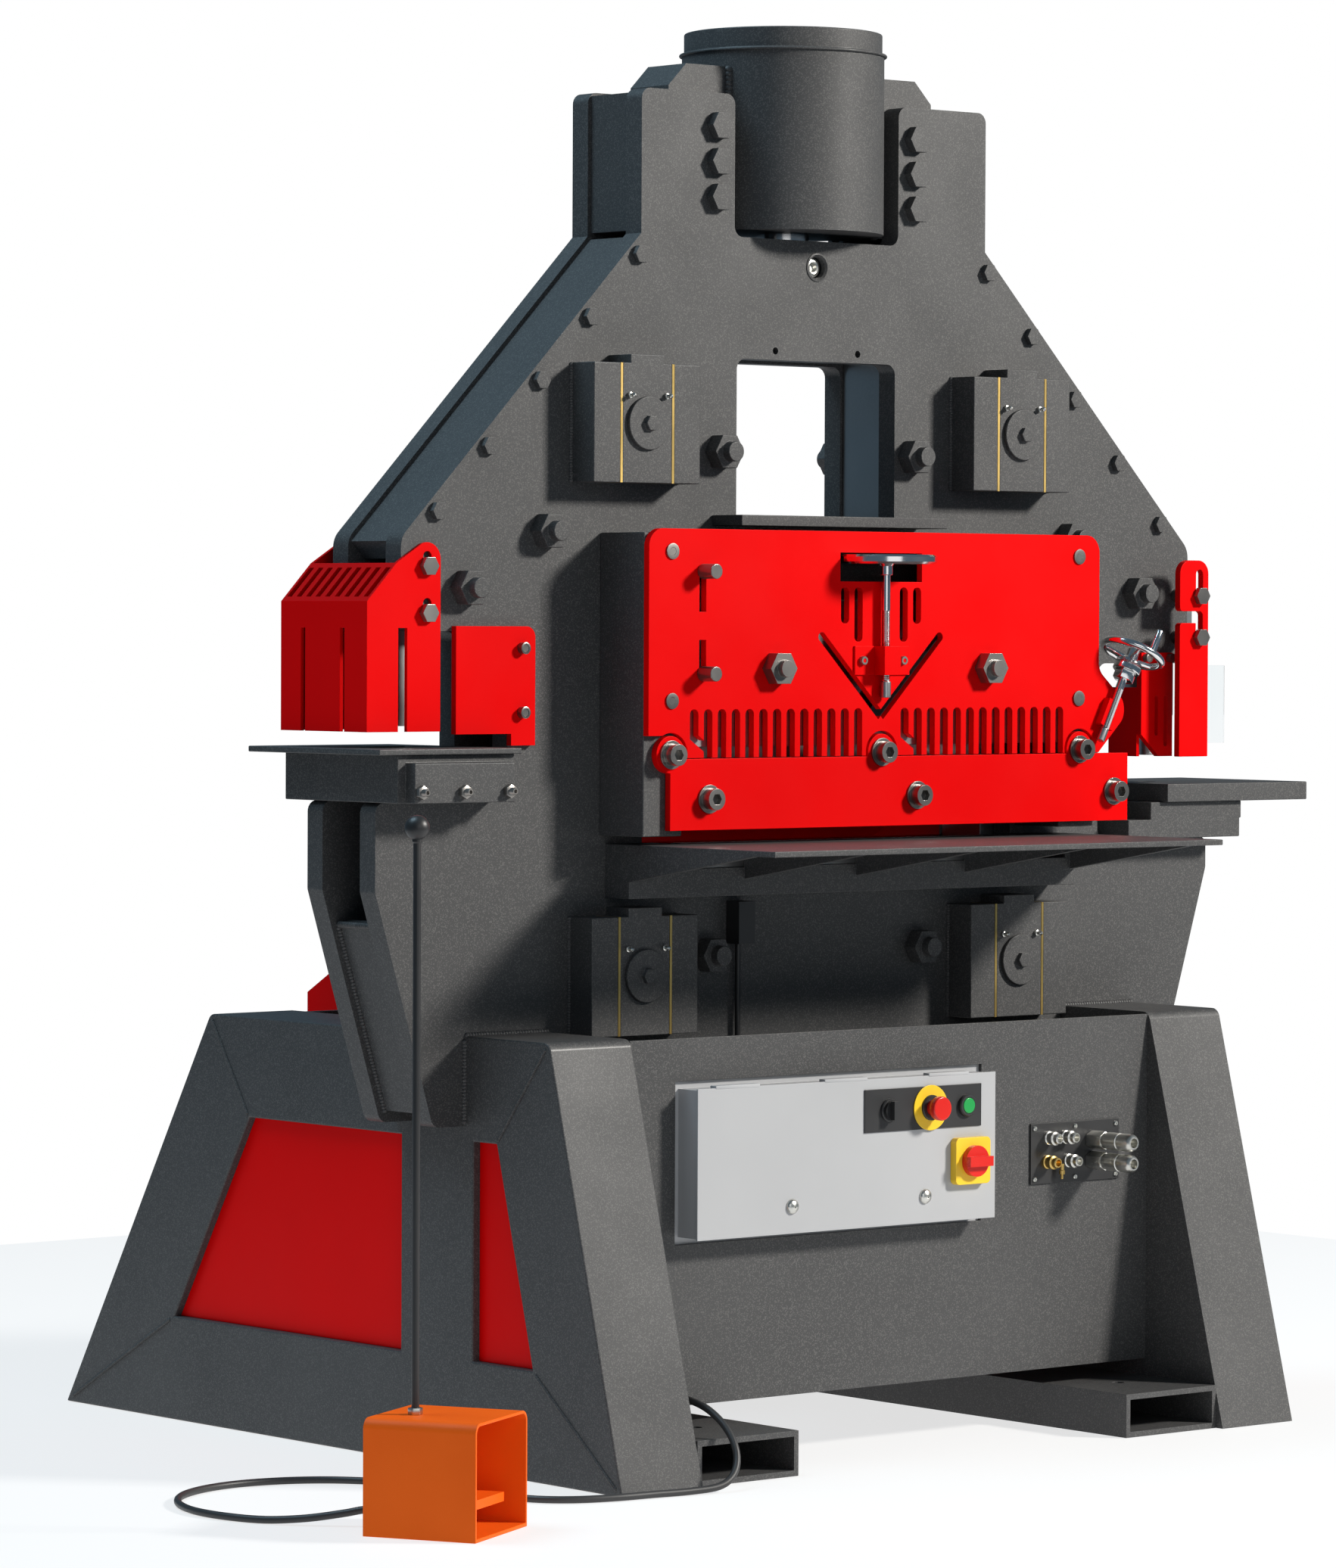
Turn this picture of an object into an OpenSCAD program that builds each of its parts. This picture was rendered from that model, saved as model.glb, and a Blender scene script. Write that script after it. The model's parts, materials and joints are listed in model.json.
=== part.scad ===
// Ironworker: a hydraulic machine with a notcher, an angle shear, a flat-bar
// shear, an open press window and a hole punch, all driven by one ram beam.
// Units are millimetres, +Z is up, and the floor is Z = 0. The working stations
// face -Y. The origin lies on the floor at the middle of the base.

/* [Frame plates] */
// Thickness of each frame plate
plate_t = 34; // [25:1:45]
// Gap between the two plates
plate_gap = 84; // [70:1:110]
// Height of the towers above the shoulders
tower_h = 202; // [180:1:220]
// Half width of the tower pair
tower_half_w = 326; // [300:1:360]
// Half width of the notch that holds the cylinder
notch_half_w = 155; // [150:1:170]
// Height where the towers meet the slopes
shoulder_z = 1698; // [1690:1:1720]
// Half width at the upper jaws
nose_half_w = 745; // [735:1:755]
// Height where the slopes meet the upper jaws
nose_z = 1270; // [1255:1:1285]
// How far the lower jaws reach past the upper ones
jaw_out = 42; // [30:1:55]
// Half width of the foot
foot_half_w = 687; // [660:1:720]
// Height of the foot
foot_z = 470; // [460:1:500]
// Height where the lower jaws start to slope in
knee_z = 792; // [760:1:815]
// Corner radius of the plates
plate_r = 15; // [5:1:25]

/* [Stations] */
// Depth of the throats behind the ends of the upper jaws
throat_depth = 185; // [175:1:195]
// Floor of the notcher's throat
left_jaw_z = 913; // [890:1:930]
// Roof of the notcher's throat
left_throat_top = 1144; // [1135:1:1150]
// Floor of the punch's throat
right_jaw_z = 839; // [825:1:850]
// Roof of the punch's throat
right_throat_top = 1099; // [1092:1:1100]
// Half width of the press window
window_half_w = 150; // [145:1:155]
// Floor of the press window
window_floor = 1293; // [1290:1:1300]
// Roof of the press window
window_top = 1529; // [1500:1:1535]
// Middle of the shears, right of the frame's middle
shear_x = 30.5; // [10:0.5:50]
// Travel of the ram beam
stroke = 45; // [30:1:46]

/* [Cylinder] */
// Outer diameter of the barrel
barrel_d = 290; // [270:1:300]
// Bore of the barrel
bore_d = 254; // [230:1:262]
// Height of the barrel's underside above its notch
barrel_rise = 12; // [8:1:25]
// Length of the barrel
barrel_l = 253; // [230:1:275]
// Height of the cap
cap_h = 33; // [20:1:45]
// Diameter of the piston rod
rod_d = 76; // [55:1:80]

/* [Base] */
// Half distance between the side frames
base_in = 490; // [480:1:500]
// Width of the base tubes
tube_w = 143; // [120:1:150]
// Height of the base
base_top = 593; // [580:1:600]
// How far the frame's front face lies behind the front of the base's top
front_top = 182; // [170:1:200]
// How far the same face lies behind the front of the base's feet
front_foot = 339; // [300:1:360]
// How far the top of the base reaches behind that face
rear_top = 591; // [560:1:620]
// How far the feet of the base reach behind that face
rear_foot = 951; // [900:1:980]
// Height of the top tubes
top_tube_h = 143; // [120:1:160]
// Height of the bottom tubes
bottom_tube_h = 150; // [120:1:170]
// Width of the front legs along the floor
front_leg_w = 150; // [130:1:160]
// Width of the rear legs along the floor
rear_leg_w = 182; // [160:1:200]
// Width of each fork tube
fork_w = 180; // [150:1:200]
// Height of each fork tube
fork_h = 62; // [55:1:80]
// Wall of each fork tube
fork_wall = 8; // [5:0.5:12]
// Diameter of the floor anchor holes
anchor_d = 18; // [12:1:24]
// Distance of the anchor holes from the fork tubes' ends
anchor_inset = 110; // [60:1:160]

/* [Shear housing and guards] */
// Width of the upper guard
guard_w = 857; // [840:1:870]
// Thickness of the red guard plates
guard_t = 11; // [8:0.5:14]
// Depth of the housing in front of the frame
housing_d = 95; // [92:1:105]
// Top of the housing
housing_top = 1281; // [1276:1:1284]
// Lower end of the housing
housing_floor = 862; // [852:1:868]
// Line where the two guards meet
guard_split_z = 970; // [966:1:976]
// Lower edge of the lower guard
flat_guard_z = 870; // [868:1:876]
// Height of the shear table
shear_table_z = 850; // [840:1:855]
// Thickness of the tables' plates
table_t = 8; // [6:0.5:12]
// Reach of the shear table in front of the frame
shear_table_reach = 358; // [300:1:400]
// Height of the angle shear's point
angle_z = 1026; // [1020:1:1034]

/* [Guides] */
// Half distance between the guides
guide_x = 355; // [345:1:365]
// Middle of the upper guides
upper_guide_z = 1432; // [1425:1:1440]
// Middle of the lower guides
lower_guide_z = 668; // [662:1:675]
// Width of each guide
guide_w = 191; // [180:1:200]
// Height of each guide
guide_h = 165; // [150:1:175]
// How far the guides stand proud of the plates
guide_t = 50; // [40:1:60]
// Width of each slide
slide_w = 88; // [76:1:96]
// Thickness of the bronze strips
strip_t = 4; // [3:0.5:6]

/* [Controls and pedal] */
// Width of the electrical box
box_w = 549; // [500:1:560]
// Height of the electrical box
box_h = 203; // [180:1:215]
// How far the box stands in front of the front panel
box_proud = 38; // [25:1:50]
// Width of the pedal guard
pedal_w = 156; // [140:1:170]
// Length of the pedal guard
pedal_l = 164; // [150:1:180]
// Height of the pedal guard
pedal_h = 150; // [130:1:165]
// Turn of the pedal guard on the floor
pedal_turn = 28; // [0:1:60]
// Height of the knob on the pedal's pole
pole_top = 896; // [700:1:1000]
// Diameter of the foot switch's cable
cable_d = 10; // [8:0.5:10]

/* [Hidden] */
$fn = 48;

// Overrun of every cut, running gaps and fits
over = 2;
run_gap = 1;
seat_gap = 0.3;
round_gap = 0.5;
arc_steps = 6;

// Paint and metal colours
charcoal = [0.2, 0.2, 0.2];
guard_red = [0.8, 0.03, 0.05];
steel = [0.45, 0.45, 0.46];
dark_steel = [0.14, 0.14, 0.15];
bronze = [0.6, 0.45, 0.2];
chrome = [0.8, 0.8, 0.82];
box_grey = [0.68, 0.69, 0.7];
black = [0.05, 0.05, 0.05];
orange = [0.9, 0.3, 0.05];
yellow = [0.95, 0.75, 0.1];

// Heights and widths that follow from the driving sizes
notch_rise = 2;
notch_floor = shoulder_z + notch_rise;
frame_top = shoulder_z + tower_h;
barrel_floor = notch_floor + barrel_rise;
barrel_top = barrel_floor + barrel_l;
throat_x = nose_half_w - throat_depth;
jaw_half_w = nose_half_w + jaw_out;

// Depths counted from the front plate's front face
rear_in = plate_t + plate_gap;
frame_d = 2 * plate_t + plate_gap;
mid_y = frame_d / 2;
beam_y0 = plate_t + run_gap;
beam_t = plate_gap - 2 * run_gap;
base_mid = (rear_foot - front_foot) / 2;

// A point on the slope of the frame, at a share of its length and a depth under it
slope = [nose_half_w - tower_half_w, nose_z - shoulder_z];
slope_l = norm(slope);
slope_dir = slope / slope_l;
slope_in = [slope_dir.y, -slope_dir.x];
function on_slope(share, deep) = [tower_half_w, shoulder_z] + slope * share + slope_in * deep;

// Outline corners are [x, y, radius]; a corner with no radius stays sharp
function unit(v) = v / norm(v);
function flat2(p) = [p.x, p.y];
function arc_corner(p, q, s) =
    let (u = unit(flat2(p) - flat2(q)), w = unit(flat2(s) - flat2(q)), half = acos(u * w) / 2,
        middle = flat2(q) + unit(u + w) * q[2] / sin(half), reach = q[2] / tan(half),
        a = unit(flat2(q) + u * reach - middle), b = unit(flat2(q) + w * reach - middle))
    [for (i = [0 : arc_steps]) middle + q[2] * unit(a * (arc_steps - i) + b * i)];
function rounded(pts) = [for (i = [0 : len(pts) - 1])
    each (len(pts[i]) < 3 || pts[i][2] == 0 ? [flat2(pts[i])]
        : arc_corner(pts[(i + len(pts) - 1) % len(pts)], pts[i], pts[(i + 1) % len(pts)]))];
function rect(x0, y0, x1, y1, r) = [[x0, y0, r], [x1, y0, r], [x1, y1, r], [x0, y1, r]];

module on_frame() { translate([0, front_foot - (front_foot + rear_foot) / 2, 0]) children(); }
module box(lo, hi) { translate(lo) cube(hi - lo); }
module upright(pts, y0, t) { translate([0, y0 + t, 0]) rotate([90, 0,
    0]) linear_extrude(t) polygon(rounded(pts)); }
module sideways(pts, x0, t) { translate([x0, 0, 0]) rotate([90, 0,
    90]) linear_extrude(t) polygon(rounded(pts)); }
module rod_x(x0, x1, y, z, r) { translate([x0, y, z]) rotate([0, 90, 0]) cylinder(h = x1 - x0, r = r); }
module rod_y(x, y0, y1, z, r) { translate([x, y0, z]) rotate([-90, 0, 0]) cylinder(h = y1 - y0, r = r); }
module rod_z(x, y, z0, z1, r) { translate([x, y, z0]) cylinder(h = z1 - z0, r = r); }
module hex_y(x, y0, y1, z, across) {
    translate([x, y0, z]) rotate([-90, 0, 0]) cylinder(h = y1 - y0, r = across / sqrt(3), $fn = 6);
}
module both_sides() {
    children();
    mirror([1, 0, 0]) children();
}

// Fastener sizes
slope_bolt_r = 6;
slope_bolt_across = 23;
slope_bolt_head = 9;
slope_bolt_deep = 18;
slope_bolt_shares = [0.04, 0.25, 0.46, 0.675, 0.885];
tower_bolt_r = 10;
tower_bolt_across = 36;
tower_bolt_head = 14;
tower_bolt_x = 187;
tower_bolt_up = 42;
tower_bolt_pitch = 50;
tower_bolt_count = 3;
tower_bolt_zs = [for (i = [0 : tower_bolt_count - 1]) barrel_floor + tower_bolt_up + i * tower_bolt_pitch];
tie_r = 14;
tie_across = 46;
tie_nut = 24;
tie_end = 14;
window_tie_out = 32;
window_tie_up = 104;
near_tie_out = 67.5;
near_tie_up = 1;
end_tie_share = 0.951;
end_tie_deep = 125.5;
low_tie_x = 200;
low_tie_up = 22;
tie_places = [[window_half_w + window_tie_out, window_floor + window_tie_up],
    [guard_w / 2 + near_tie_out, housing_top + near_tie_up],
    on_slope(end_tie_share, end_tie_deep), [low_tie_x, lower_guide_z + low_tie_up]];
bolt_gap = 0.5;

// Frame plates
strip_in = 6;
strip_w = 40;
waist_z = 540;
waist_gap = 4;
nose_r = 30;
pin_r = 18;
pin_slot_gap = 3;
socket_r = 20;
socket_drop = 37;
socket_z = notch_floor - socket_drop;
peep_r = 5;
peep_x = 78;
peep_z = 1542;
cheek_w = 70;
cheek_in = guard_w / 2 - cheek_w;
opening_in = 7.5;
opening_half_w = cheek_in - opening_in;
opening_floor = 800;
opening_top = 1216;
exit_half_w = 150;
exit_floor = 985;
exit_slot_top = 885;

function frame_half() = [[notch_half_w, notch_floor, plate_r], [notch_half_w, frame_top, plate_r],
    [tower_half_w, frame_top, plate_r], [tower_half_w, shoulder_z, 0], [nose_half_w, nose_z, nose_r]];
function jaw_half(roof, floor_z) = [[nose_half_w, roof, plate_r], [throat_x, roof, plate_r],
    [throat_x, floor_z, plate_r], [jaw_half_w, floor_z, plate_r], [jaw_half_w, knee_z, plate_r],
    [foot_half_w, foot_z, plate_r], [base_in + tube_w, foot_z, 0], [base_in + tube_w, base_top, 0],
    [base_in - waist_gap, base_top, 0], [base_in - waist_gap, waist_z, 0]];
function left_of(pts) = [for (i = [len(pts) - 1 : -1 : 0])
    [-pts[i].x, pts[i].y, len(pts[i]) < 3 ? 0 : pts[i][2]]];

module frame_outline(y0) {
    right_side = concat(frame_half(), jaw_half(right_throat_top, right_jaw_z));
    left_side = concat(frame_half(), jaw_half(left_throat_top, left_jaw_z));
    upright(concat(right_side, left_of(left_side)), y0, plate_t);
}
module guide_places() {
    for (side = [-1, 1], z = [upper_guide_z, lower_guide_z]) translate([side * guide_x, 0, z]) children();
}
module frame_plate(y0) {
    difference() {
        frame_outline(y0);
        upright(rect(-window_half_w, window_floor, window_half_w, window_top, plate_r), y0 - over,
            plate_t + 2 * over);
        rod_y(0, y0 - over, y0 + plate_t + over, socket_z, socket_r);
        for (side = [-1, 1]) rod_y(side * peep_x, y0 - over, y0 + plate_t + over, peep_z, peep_r);
        guide_places() upright(rect(-pin_r - pin_slot_gap, -stroke - pin_r - pin_slot_gap,
            pin_r + pin_slot_gap, pin_r + pin_slot_gap, 0), y0 - over, plate_t + 2 * over);
        bolt_holes(y0 - over, y0 + plate_t + over);
    }
}
module bolt_holes(y0, y1) {
    both_sides() {
        for (share = slope_bolt_shares) {
            p = on_slope(share, slope_bolt_deep);
            rod_y(p.x, y0, y1, p.y, slope_bolt_r + bolt_gap);
        }
        for (z = tower_bolt_zs) rod_y(tower_bolt_x, y0, y1, z, tower_bolt_r + bolt_gap);
        for (p = tie_places) rod_y(p.x, y0, y1, p.y, tie_r + bolt_gap);
    }
}
module front_frame_plate() {
    color(charcoal) on_frame() difference() {
        frame_plate(0);
        upright(rect(shear_x - opening_half_w, opening_floor, shear_x + opening_half_w, opening_top,
            plate_r),
            -over, plate_t + 2 * over);
    }
}
module rear_frame_plate() {
    color(charcoal) on_frame() difference() {
        frame_plate(rear_in);
        upright(rect(shear_x - exit_half_w, exit_floor, shear_x + exit_half_w, opening_top, plate_r),
            rear_in - over, plate_t + 2 * over);
        upright(rect(shear_x - opening_half_w, opening_floor, shear_x + opening_half_w, exit_slot_top,
            plate_r),
            rear_in - over, plate_t + 2 * over);
    }
}
// Bars between the plates: along the slopes, up the towers and down the lower ends
end_bar_t = 20;
end_bar_in = 12;
end_bar_shares = [0.16, 0.96];
spacer_gap = 5;
module frame_spacers() {
    knee = [jaw_half_w, knee_z];
    down = [foot_half_w, foot_z] - knee;
    inward = unit([down.y, -down.x]);
    bar_top = knee + down * end_bar_shares[0] + inward * end_bar_in;
    bar_end = knee + down * end_bar_shares[1] + inward * end_bar_in;
    color(charcoal) on_frame() both_sides() difference() {
        union() {
            upright([on_slope(0, strip_in), on_slope(1, strip_in), on_slope(1, strip_w), on_slope(0,
                strip_w)],
                plate_t, plate_gap);
            upright(rect(tower_half_w - strip_w, shoulder_z + spacer_gap, tower_half_w - strip_in,
                frame_top - spacer_gap, 0), plate_t, plate_gap);
            upright([bar_top, bar_end, bar_end + inward * end_bar_t, bar_top + inward * end_bar_t],
                plate_t, plate_gap);
        }
        for (share = slope_bolt_shares) {
            p = on_slope(share, slope_bolt_deep);
            rod_y(p.x, plate_t - over, rear_in + over, p.y, slope_bolt_r + bolt_gap);
        }
    }
}
module through_bolt(x, z, r, across, head) {
    hex_y(x, -head, 0, z, across);
    rod_y(x, -head / 2, frame_d + head / 2, z, r);
    hex_y(x, frame_d, frame_d + head, z, across);
}
module frame_bolts() {
    color(dark_steel) on_frame() both_sides() {
        for (share = slope_bolt_shares) {
            p = on_slope(share, slope_bolt_deep);
            through_bolt(p.x, p.y, slope_bolt_r, slope_bolt_across, slope_bolt_head);
        }
        for (z = tower_bolt_zs) through_bolt(tower_bolt_x, z, tower_bolt_r, tower_bolt_across,
            tower_bolt_head);
    }
}
module tie_rods() {
    color(dark_steel) on_frame() both_sides() for (p = tie_places) {
        rod_y(p.x, -tie_nut - tie_end, frame_d + tie_nut + tie_end, p.y, tie_r);
        hex_y(p.x, -tie_nut, 0, p.y, tie_across);
        hex_y(p.x, frame_d, frame_d + tie_nut, p.y, tie_across);
    }
}

// Cylinder
lug_half_in = 120;
lug_out = 249;
lug_drop = 23;
lug_top = barrel_top - lug_drop;
lug_cut = 32;
gland_t = 26;
cap_d = 284;
cap_step = 4;
piston_h = 60;
piston_gap = 0.4;
rod_gap = 0.4;
tongue_t = 36;
tongue_gap = 1;
clevis_r = 34;
rod_pin_r = 17;
pin_gap = 0.05;
module cylinder_barrel() {
    color(charcoal) on_frame() difference() {
        union() {
            rod_z(0, mid_y, barrel_floor, barrel_top, barrel_d / 2);
            both_sides() upright([[lug_half_in, barrel_floor, 0], [lug_out, barrel_floor, 0],
                [lug_out, lug_top - lug_cut, 0], [lug_out - lug_cut, lug_top, 0],
                    [lug_half_in, lug_top, 0]],
                plate_t + seat_gap, plate_gap - 2 * seat_gap);
        }
        rod_z(0, mid_y, barrel_floor + gland_t, barrel_top + over, bore_d / 2);
        rod_z(0, mid_y, barrel_floor - over, barrel_floor + gland_t + over, rod_d / 2 + rod_gap);
        both_sides() for (z = tower_bolt_zs) rod_y(tower_bolt_x, 0, frame_d, z, tower_bolt_r + bolt_gap);
    }
}
module cylinder_cap() {
    color(charcoal) on_frame() union() {
        rod_z(0, mid_y, barrel_top, barrel_top + cap_h, cap_d / 2);
        rod_z(0, mid_y, barrel_top, barrel_top + cap_step, barrel_d / 2 + cap_step);
    }
}
module piston_rod() {
    color(chrome) on_frame() difference() {
        union() {
            rod_z(0, mid_y, barrel_top - piston_h - cap_step, barrel_top - cap_step,
                bore_d / 2 - piston_gap);
            rod_z(0, mid_y, socket_z + clevis_r + over, barrel_top - piston_h, rod_d / 2);
            intersection() {
                rod_z(0, mid_y, socket_z - clevis_r + over, barrel_floor, rod_d / 2);
                box([-rod_d, mid_y - tongue_t / 2, 0], [rod_d, mid_y + tongue_t / 2, barrel_top]);
            }
        }
        rod_y(0, 0, frame_d, socket_z, rod_pin_r + pin_gap);
    }
}

// Ram beam: one thick plate that runs between the frame plates
beam_deep = 62;
beam_neck_half_w = 110;
beam_neck_drop = 60;
beam_neck_z = notch_floor - beam_neck_drop;
beam_top_gap = 3;
beam_neck_share = 0.2;
arm_rise = 10;
left_arm_l = 190;
right_arm_l = 230;
body_half_w = 445;
leg_in = 325;
leg_step = 30;
leg_step_up = 60;
leg_drop = 60;
body_floor = 882;
angle_rise = 30;
angle_drop = 26;
angle_half_w = 140;
wedge_half_w = 134;
function beam_half(arm_l, roof) = [[beam_neck_half_w, notch_floor - beam_top_gap, 0],
    [beam_neck_half_w, beam_neck_z, 0],
    on_slope(beam_neck_share, beam_deep), on_slope(1, beam_deep), [throat_x + arm_l, on_slope(1,
        beam_deep).y, 0],
    [throat_x + arm_l, roof + arm_rise, 0], [body_half_w, roof + arm_rise, 0],
        [body_half_w, lower_guide_z - leg_drop, 0],
    [leg_in, lower_guide_z - leg_drop, 0], [leg_in, lower_guide_z + leg_step_up, 0],
    [leg_in + leg_step, lower_guide_z + leg_step_up, 0], [leg_in + leg_step, body_floor, 0]];
module ram_beam() {
    color(steel) on_frame() difference() {
        union() {
            upright(concat(beam_half(right_arm_l, right_throat_top),
                left_of(beam_half(left_arm_l, left_throat_top))), beam_y0, beam_t);
            box([shear_x - carriage_half_w, 0, carriage_z],
                [shear_x + carriage_half_w, beam_y0 + over, carriage_top]);
        }
        upright(rect(-window_half_w - spacer_gap, window_floor - stroke - spacer_gap,
            window_half_w + spacer_gap,
            window_top + spacer_gap, 0), 0, frame_d);
        both_sides() for (p = tie_places) box([p.x - tie_r - pin_slot_gap, 0, p.y - tie_r - pin_slot_gap],
            [p.x + tie_r + pin_slot_gap, frame_d, p.y + tie_r + pin_slot_gap + stroke]);
        upright([[shear_x, angle_z - angle_drop],
            [shear_x + angle_half_w, angle_z - angle_drop + angle_half_w],
            [shear_x + angle_half_w, angle_z + angle_rise + angle_half_w], [shear_x, angle_z + angle_rise],
            [shear_x - angle_half_w, angle_z + angle_rise + angle_half_w],
            [shear_x - angle_half_w, angle_z - angle_drop + angle_half_w]], 0, frame_d);
        guide_places() rod_y(0, 0, frame_d, 0, pin_r + pin_gap);
        box([-rod_d, mid_y - tongue_t / 2 - tongue_gap, socket_z - clevis_r],
            [rod_d, mid_y + tongue_t / 2 + tongue_gap, notch_floor]);
        rod_y(0, 0, frame_d, socket_z, rod_pin_r + pin_gap);
        rod_z(0, mid_y, socket_z + clevis_r, notch_floor, rod_d / 2 + run_gap);
    }
}
disc_r = 37;
disc_t = 6;
disc_bolt_across = 20;
disc_bolt_t = 7;
module beam_pins() {
    color(dark_steel) on_frame() {
        guide_places() {
            rod_y(0, -guide_t, frame_d + guide_t, 0, pin_r);
            rod_y(0, -guide_t - disc_t, -guide_t, 0, disc_r);
            hex_y(0, -guide_t - disc_t - disc_bolt_t, -guide_t - disc_t, 0, disc_bolt_across);
            rod_y(0, frame_d + guide_t, frame_d + guide_t + disc_t, 0, disc_r);
            hex_y(0, frame_d + guide_t + disc_t, frame_d + guide_t + disc_t + disc_bolt_t, 0,
                disc_bolt_across);
        }
        rod_y(0, beam_y0 + run_gap, beam_y0 + beam_t - run_gap, socket_z, rod_pin_r);
    }
}
// Guides: a slide that runs between bronze strips held by two gib bars
slide_gap = 0.3;
tab_half_w = 30;
tab_h = 12;
module front_and_rear() {
    children();
    translate([0, frame_d, 0]) mirror([0, 1, 0]) children();
}
module guide_gibs() {
    color(charcoal) on_frame() front_and_rear() guide_places() both_sides()
        box([slide_w / 2 + slide_gap + strip_t, -guide_t, -guide_h / 2], [guide_w / 2, 0, guide_h / 2]);
}
module bronze_strips() {
    color(bronze) on_frame() front_and_rear() guide_places() both_sides()
        box([slide_w / 2 + slide_gap, -guide_t, -guide_h / 2],
            [slide_w / 2 + slide_gap + strip_t, 0, guide_h / 2]);
}
module guide_slides() {
    color(dark_steel) on_frame() front_and_rear() guide_places() difference() {
        union() {
            box([-slide_w / 2, -guide_t, -guide_h / 2], [slide_w / 2, -seat_gap, guide_h / 2]);
            box([-tab_half_w, -guide_t, 0], [tab_half_w, -seat_gap, guide_h / 2 + tab_h]);
        }
        rod_y(0, -guide_t - over, over, 0, pin_r + pin_gap);
    }
}

// Shears
carriage_in = 27.5;
carriage_half_w = cheek_in - carriage_in;
carriage_z = 885;
carriage_top = 985;
blade_in = 11;
blade_half_w = carriage_half_w - blade_in;
blade_t = 24;
blade_gap = 1;
upper_blade_z = 872;
upper_blade_top = 930;
lower_blade_t = 25;
ledge_z = 775;
ledge_top = 815;
wedge_reach = 60;
block_y0 = -94;
block_y1 = -62;
block_in = 88.5;
block_half_w = cheek_in - block_in;
block_top = 1205;
block_band_top = 1060;
housing_roof_t = 20;
bar_y1 = -60;
bar_z0 = 876;
bar_z1 = 966;
bar_left_in = 40.5;
bar_right_out = 59.5;
bar_left = guard_w / 2 - bar_left_in;
bar_right = guard_w / 2 + bar_right_out;
module upper_blades() {
    color(steel) on_frame() {
        box([shear_x - blade_half_w, -blade_t, upper_blade_z],
            [shear_x + blade_half_w, 0, upper_blade_top]);
        upright([[shear_x, angle_z + angle_rise],
            [shear_x + wedge_half_w, angle_z + angle_rise + wedge_half_w],
            [shear_x - wedge_half_w, angle_z + angle_rise + wedge_half_w]], -wedge_reach,
                wedge_reach + beam_y0);
    }
}
module lower_blades() {
    point_z = angle_z - v_slot_w / sqrt(2);
    v = block_top - point_z;
    color(steel) on_frame() {
        box([shear_x - blade_half_w, -blade_t - blade_gap - lower_blade_t, ledge_top],
            [shear_x + blade_half_w, -blade_t - blade_gap, shear_table_z]);
        upright([[shear_x - cheek_in, carriage_top], [shear_x + cheek_in, carriage_top],
        [shear_x + cheek_in, block_band_top], [shear_x + block_half_w, block_band_top],
        [shear_x + block_half_w, block_top], [shear_x + v, block_top], [shear_x, point_z],
        [shear_x - v, block_top], [shear_x - block_half_w, block_top],
            [shear_x - block_half_w, block_band_top],
        [shear_x - cheek_in, block_band_top]], block_y0, block_y1 - block_y0);
    }
}
module hold_down_bar() {
    color(steel) on_frame() box([shear_x - bar_left, -housing_d, bar_z0],
        [shear_x + bar_right, bar_y1, bar_z1]);
}
module shear_housing() {
    color(charcoal) on_frame() difference() {
        union() {
            translate([shear_x, 0, 0]) both_sides()
                box([cheek_in, -housing_d, housing_floor], [guard_w / 2, 0, housing_top]);
            box([shear_x - guard_w / 2, -housing_d, housing_top - housing_roof_t],
                [shear_x + guard_w / 2, 0, housing_top]);
        }
        box([shear_x - bar_left, -housing_d - over, bar_z0], [shear_x + bar_right, bar_y1, bar_z1]);
    }
}

// Red guard plates in front of the shears, with slots, slits and screws
guard_y = -housing_d - guard_t;
guard_rise = 5.5;
guard_r = 25;
ear_r = 26;
ear_gap = 4;
ear_rise = 5;
ear_shares = [-0.9055, 0.005, 0.91];
ear_xs = ear_shares * guard_w / 2;
low_screw_shares = [-0.7445, 0.1634, 1.0712];
low_screw_xs = low_screw_shares * guard_w / 2;
low_screw_z = 913;
flat_seam = 1;
flat_left = bar_left + flat_seam;
flat_right = bar_right;
bulge_out = 51.5;
bulge_x = guard_w / 2 + bulge_out;
bulge_z = 1045;
bulge_top = 1090;
slit_w = 15;
slit_r = slit_w / 2 - seat_gap;
slit_pitch_share = 0.0295;
slit_pitch = slit_pitch_share * guard_w;
slit_count = 13;
slit_top = 1037;
slit_floor = guard_split_z - over;
slit_foot = 979;
short_slit_floor = 996;
left_slit_share = -0.4128;
left_slit_x = left_slit_share * guard_w;
right_slit_share = 0.0445;
right_slit_x = right_slit_share * guard_w;
v_slot_w = 13;
v_slot_l = 158;
v_slit_in = 43;
v_slit_pitch = 25.5;
v_slit_rise = 62;
v_slit_top = 1208;
wheel_r = 72.5;
wheel_t = 13;
wheel_room = 5;
wheel_top = 1254;
hold_travel = 20;
stop_in = 97;
stop_x = stop_in - guard_w / 2;
stop_slot_w = 12;
upper_slot_z0 = 1172;
upper_slot_z1 = 1233.5;
lower_slot_z0 = 1080.5;
lower_slot_z1 = 1133;
stop_slots = [[upper_slot_z0, upper_slot_z1], [lower_slot_z0, lower_slot_z1]];
stud_left_in = 72;
stud_right_in = 65;
stud_z = 1093.5;
stud_places = [[stud_left_in - block_half_w, stud_z], [block_half_w - stud_right_in, stud_z]];
stud_r = 12;
stud_across = 42.5;
stud_nut = 19;
stud_end = 9;
corner_screw_in = 41.5;
corner_screw_drop = 26;
corner_screw_up = 79;
corner_screws = [for (side = [-1, 1], z = [housing_top - corner_screw_drop,
    guard_split_z + corner_screw_up])
    [side * (guard_w / 2 - corner_screw_in), z]];
corner_screw_r = 11;
corner_screw_t = 2;
cap_screw_r = 15;
cap_screw_t = 15;
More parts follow.
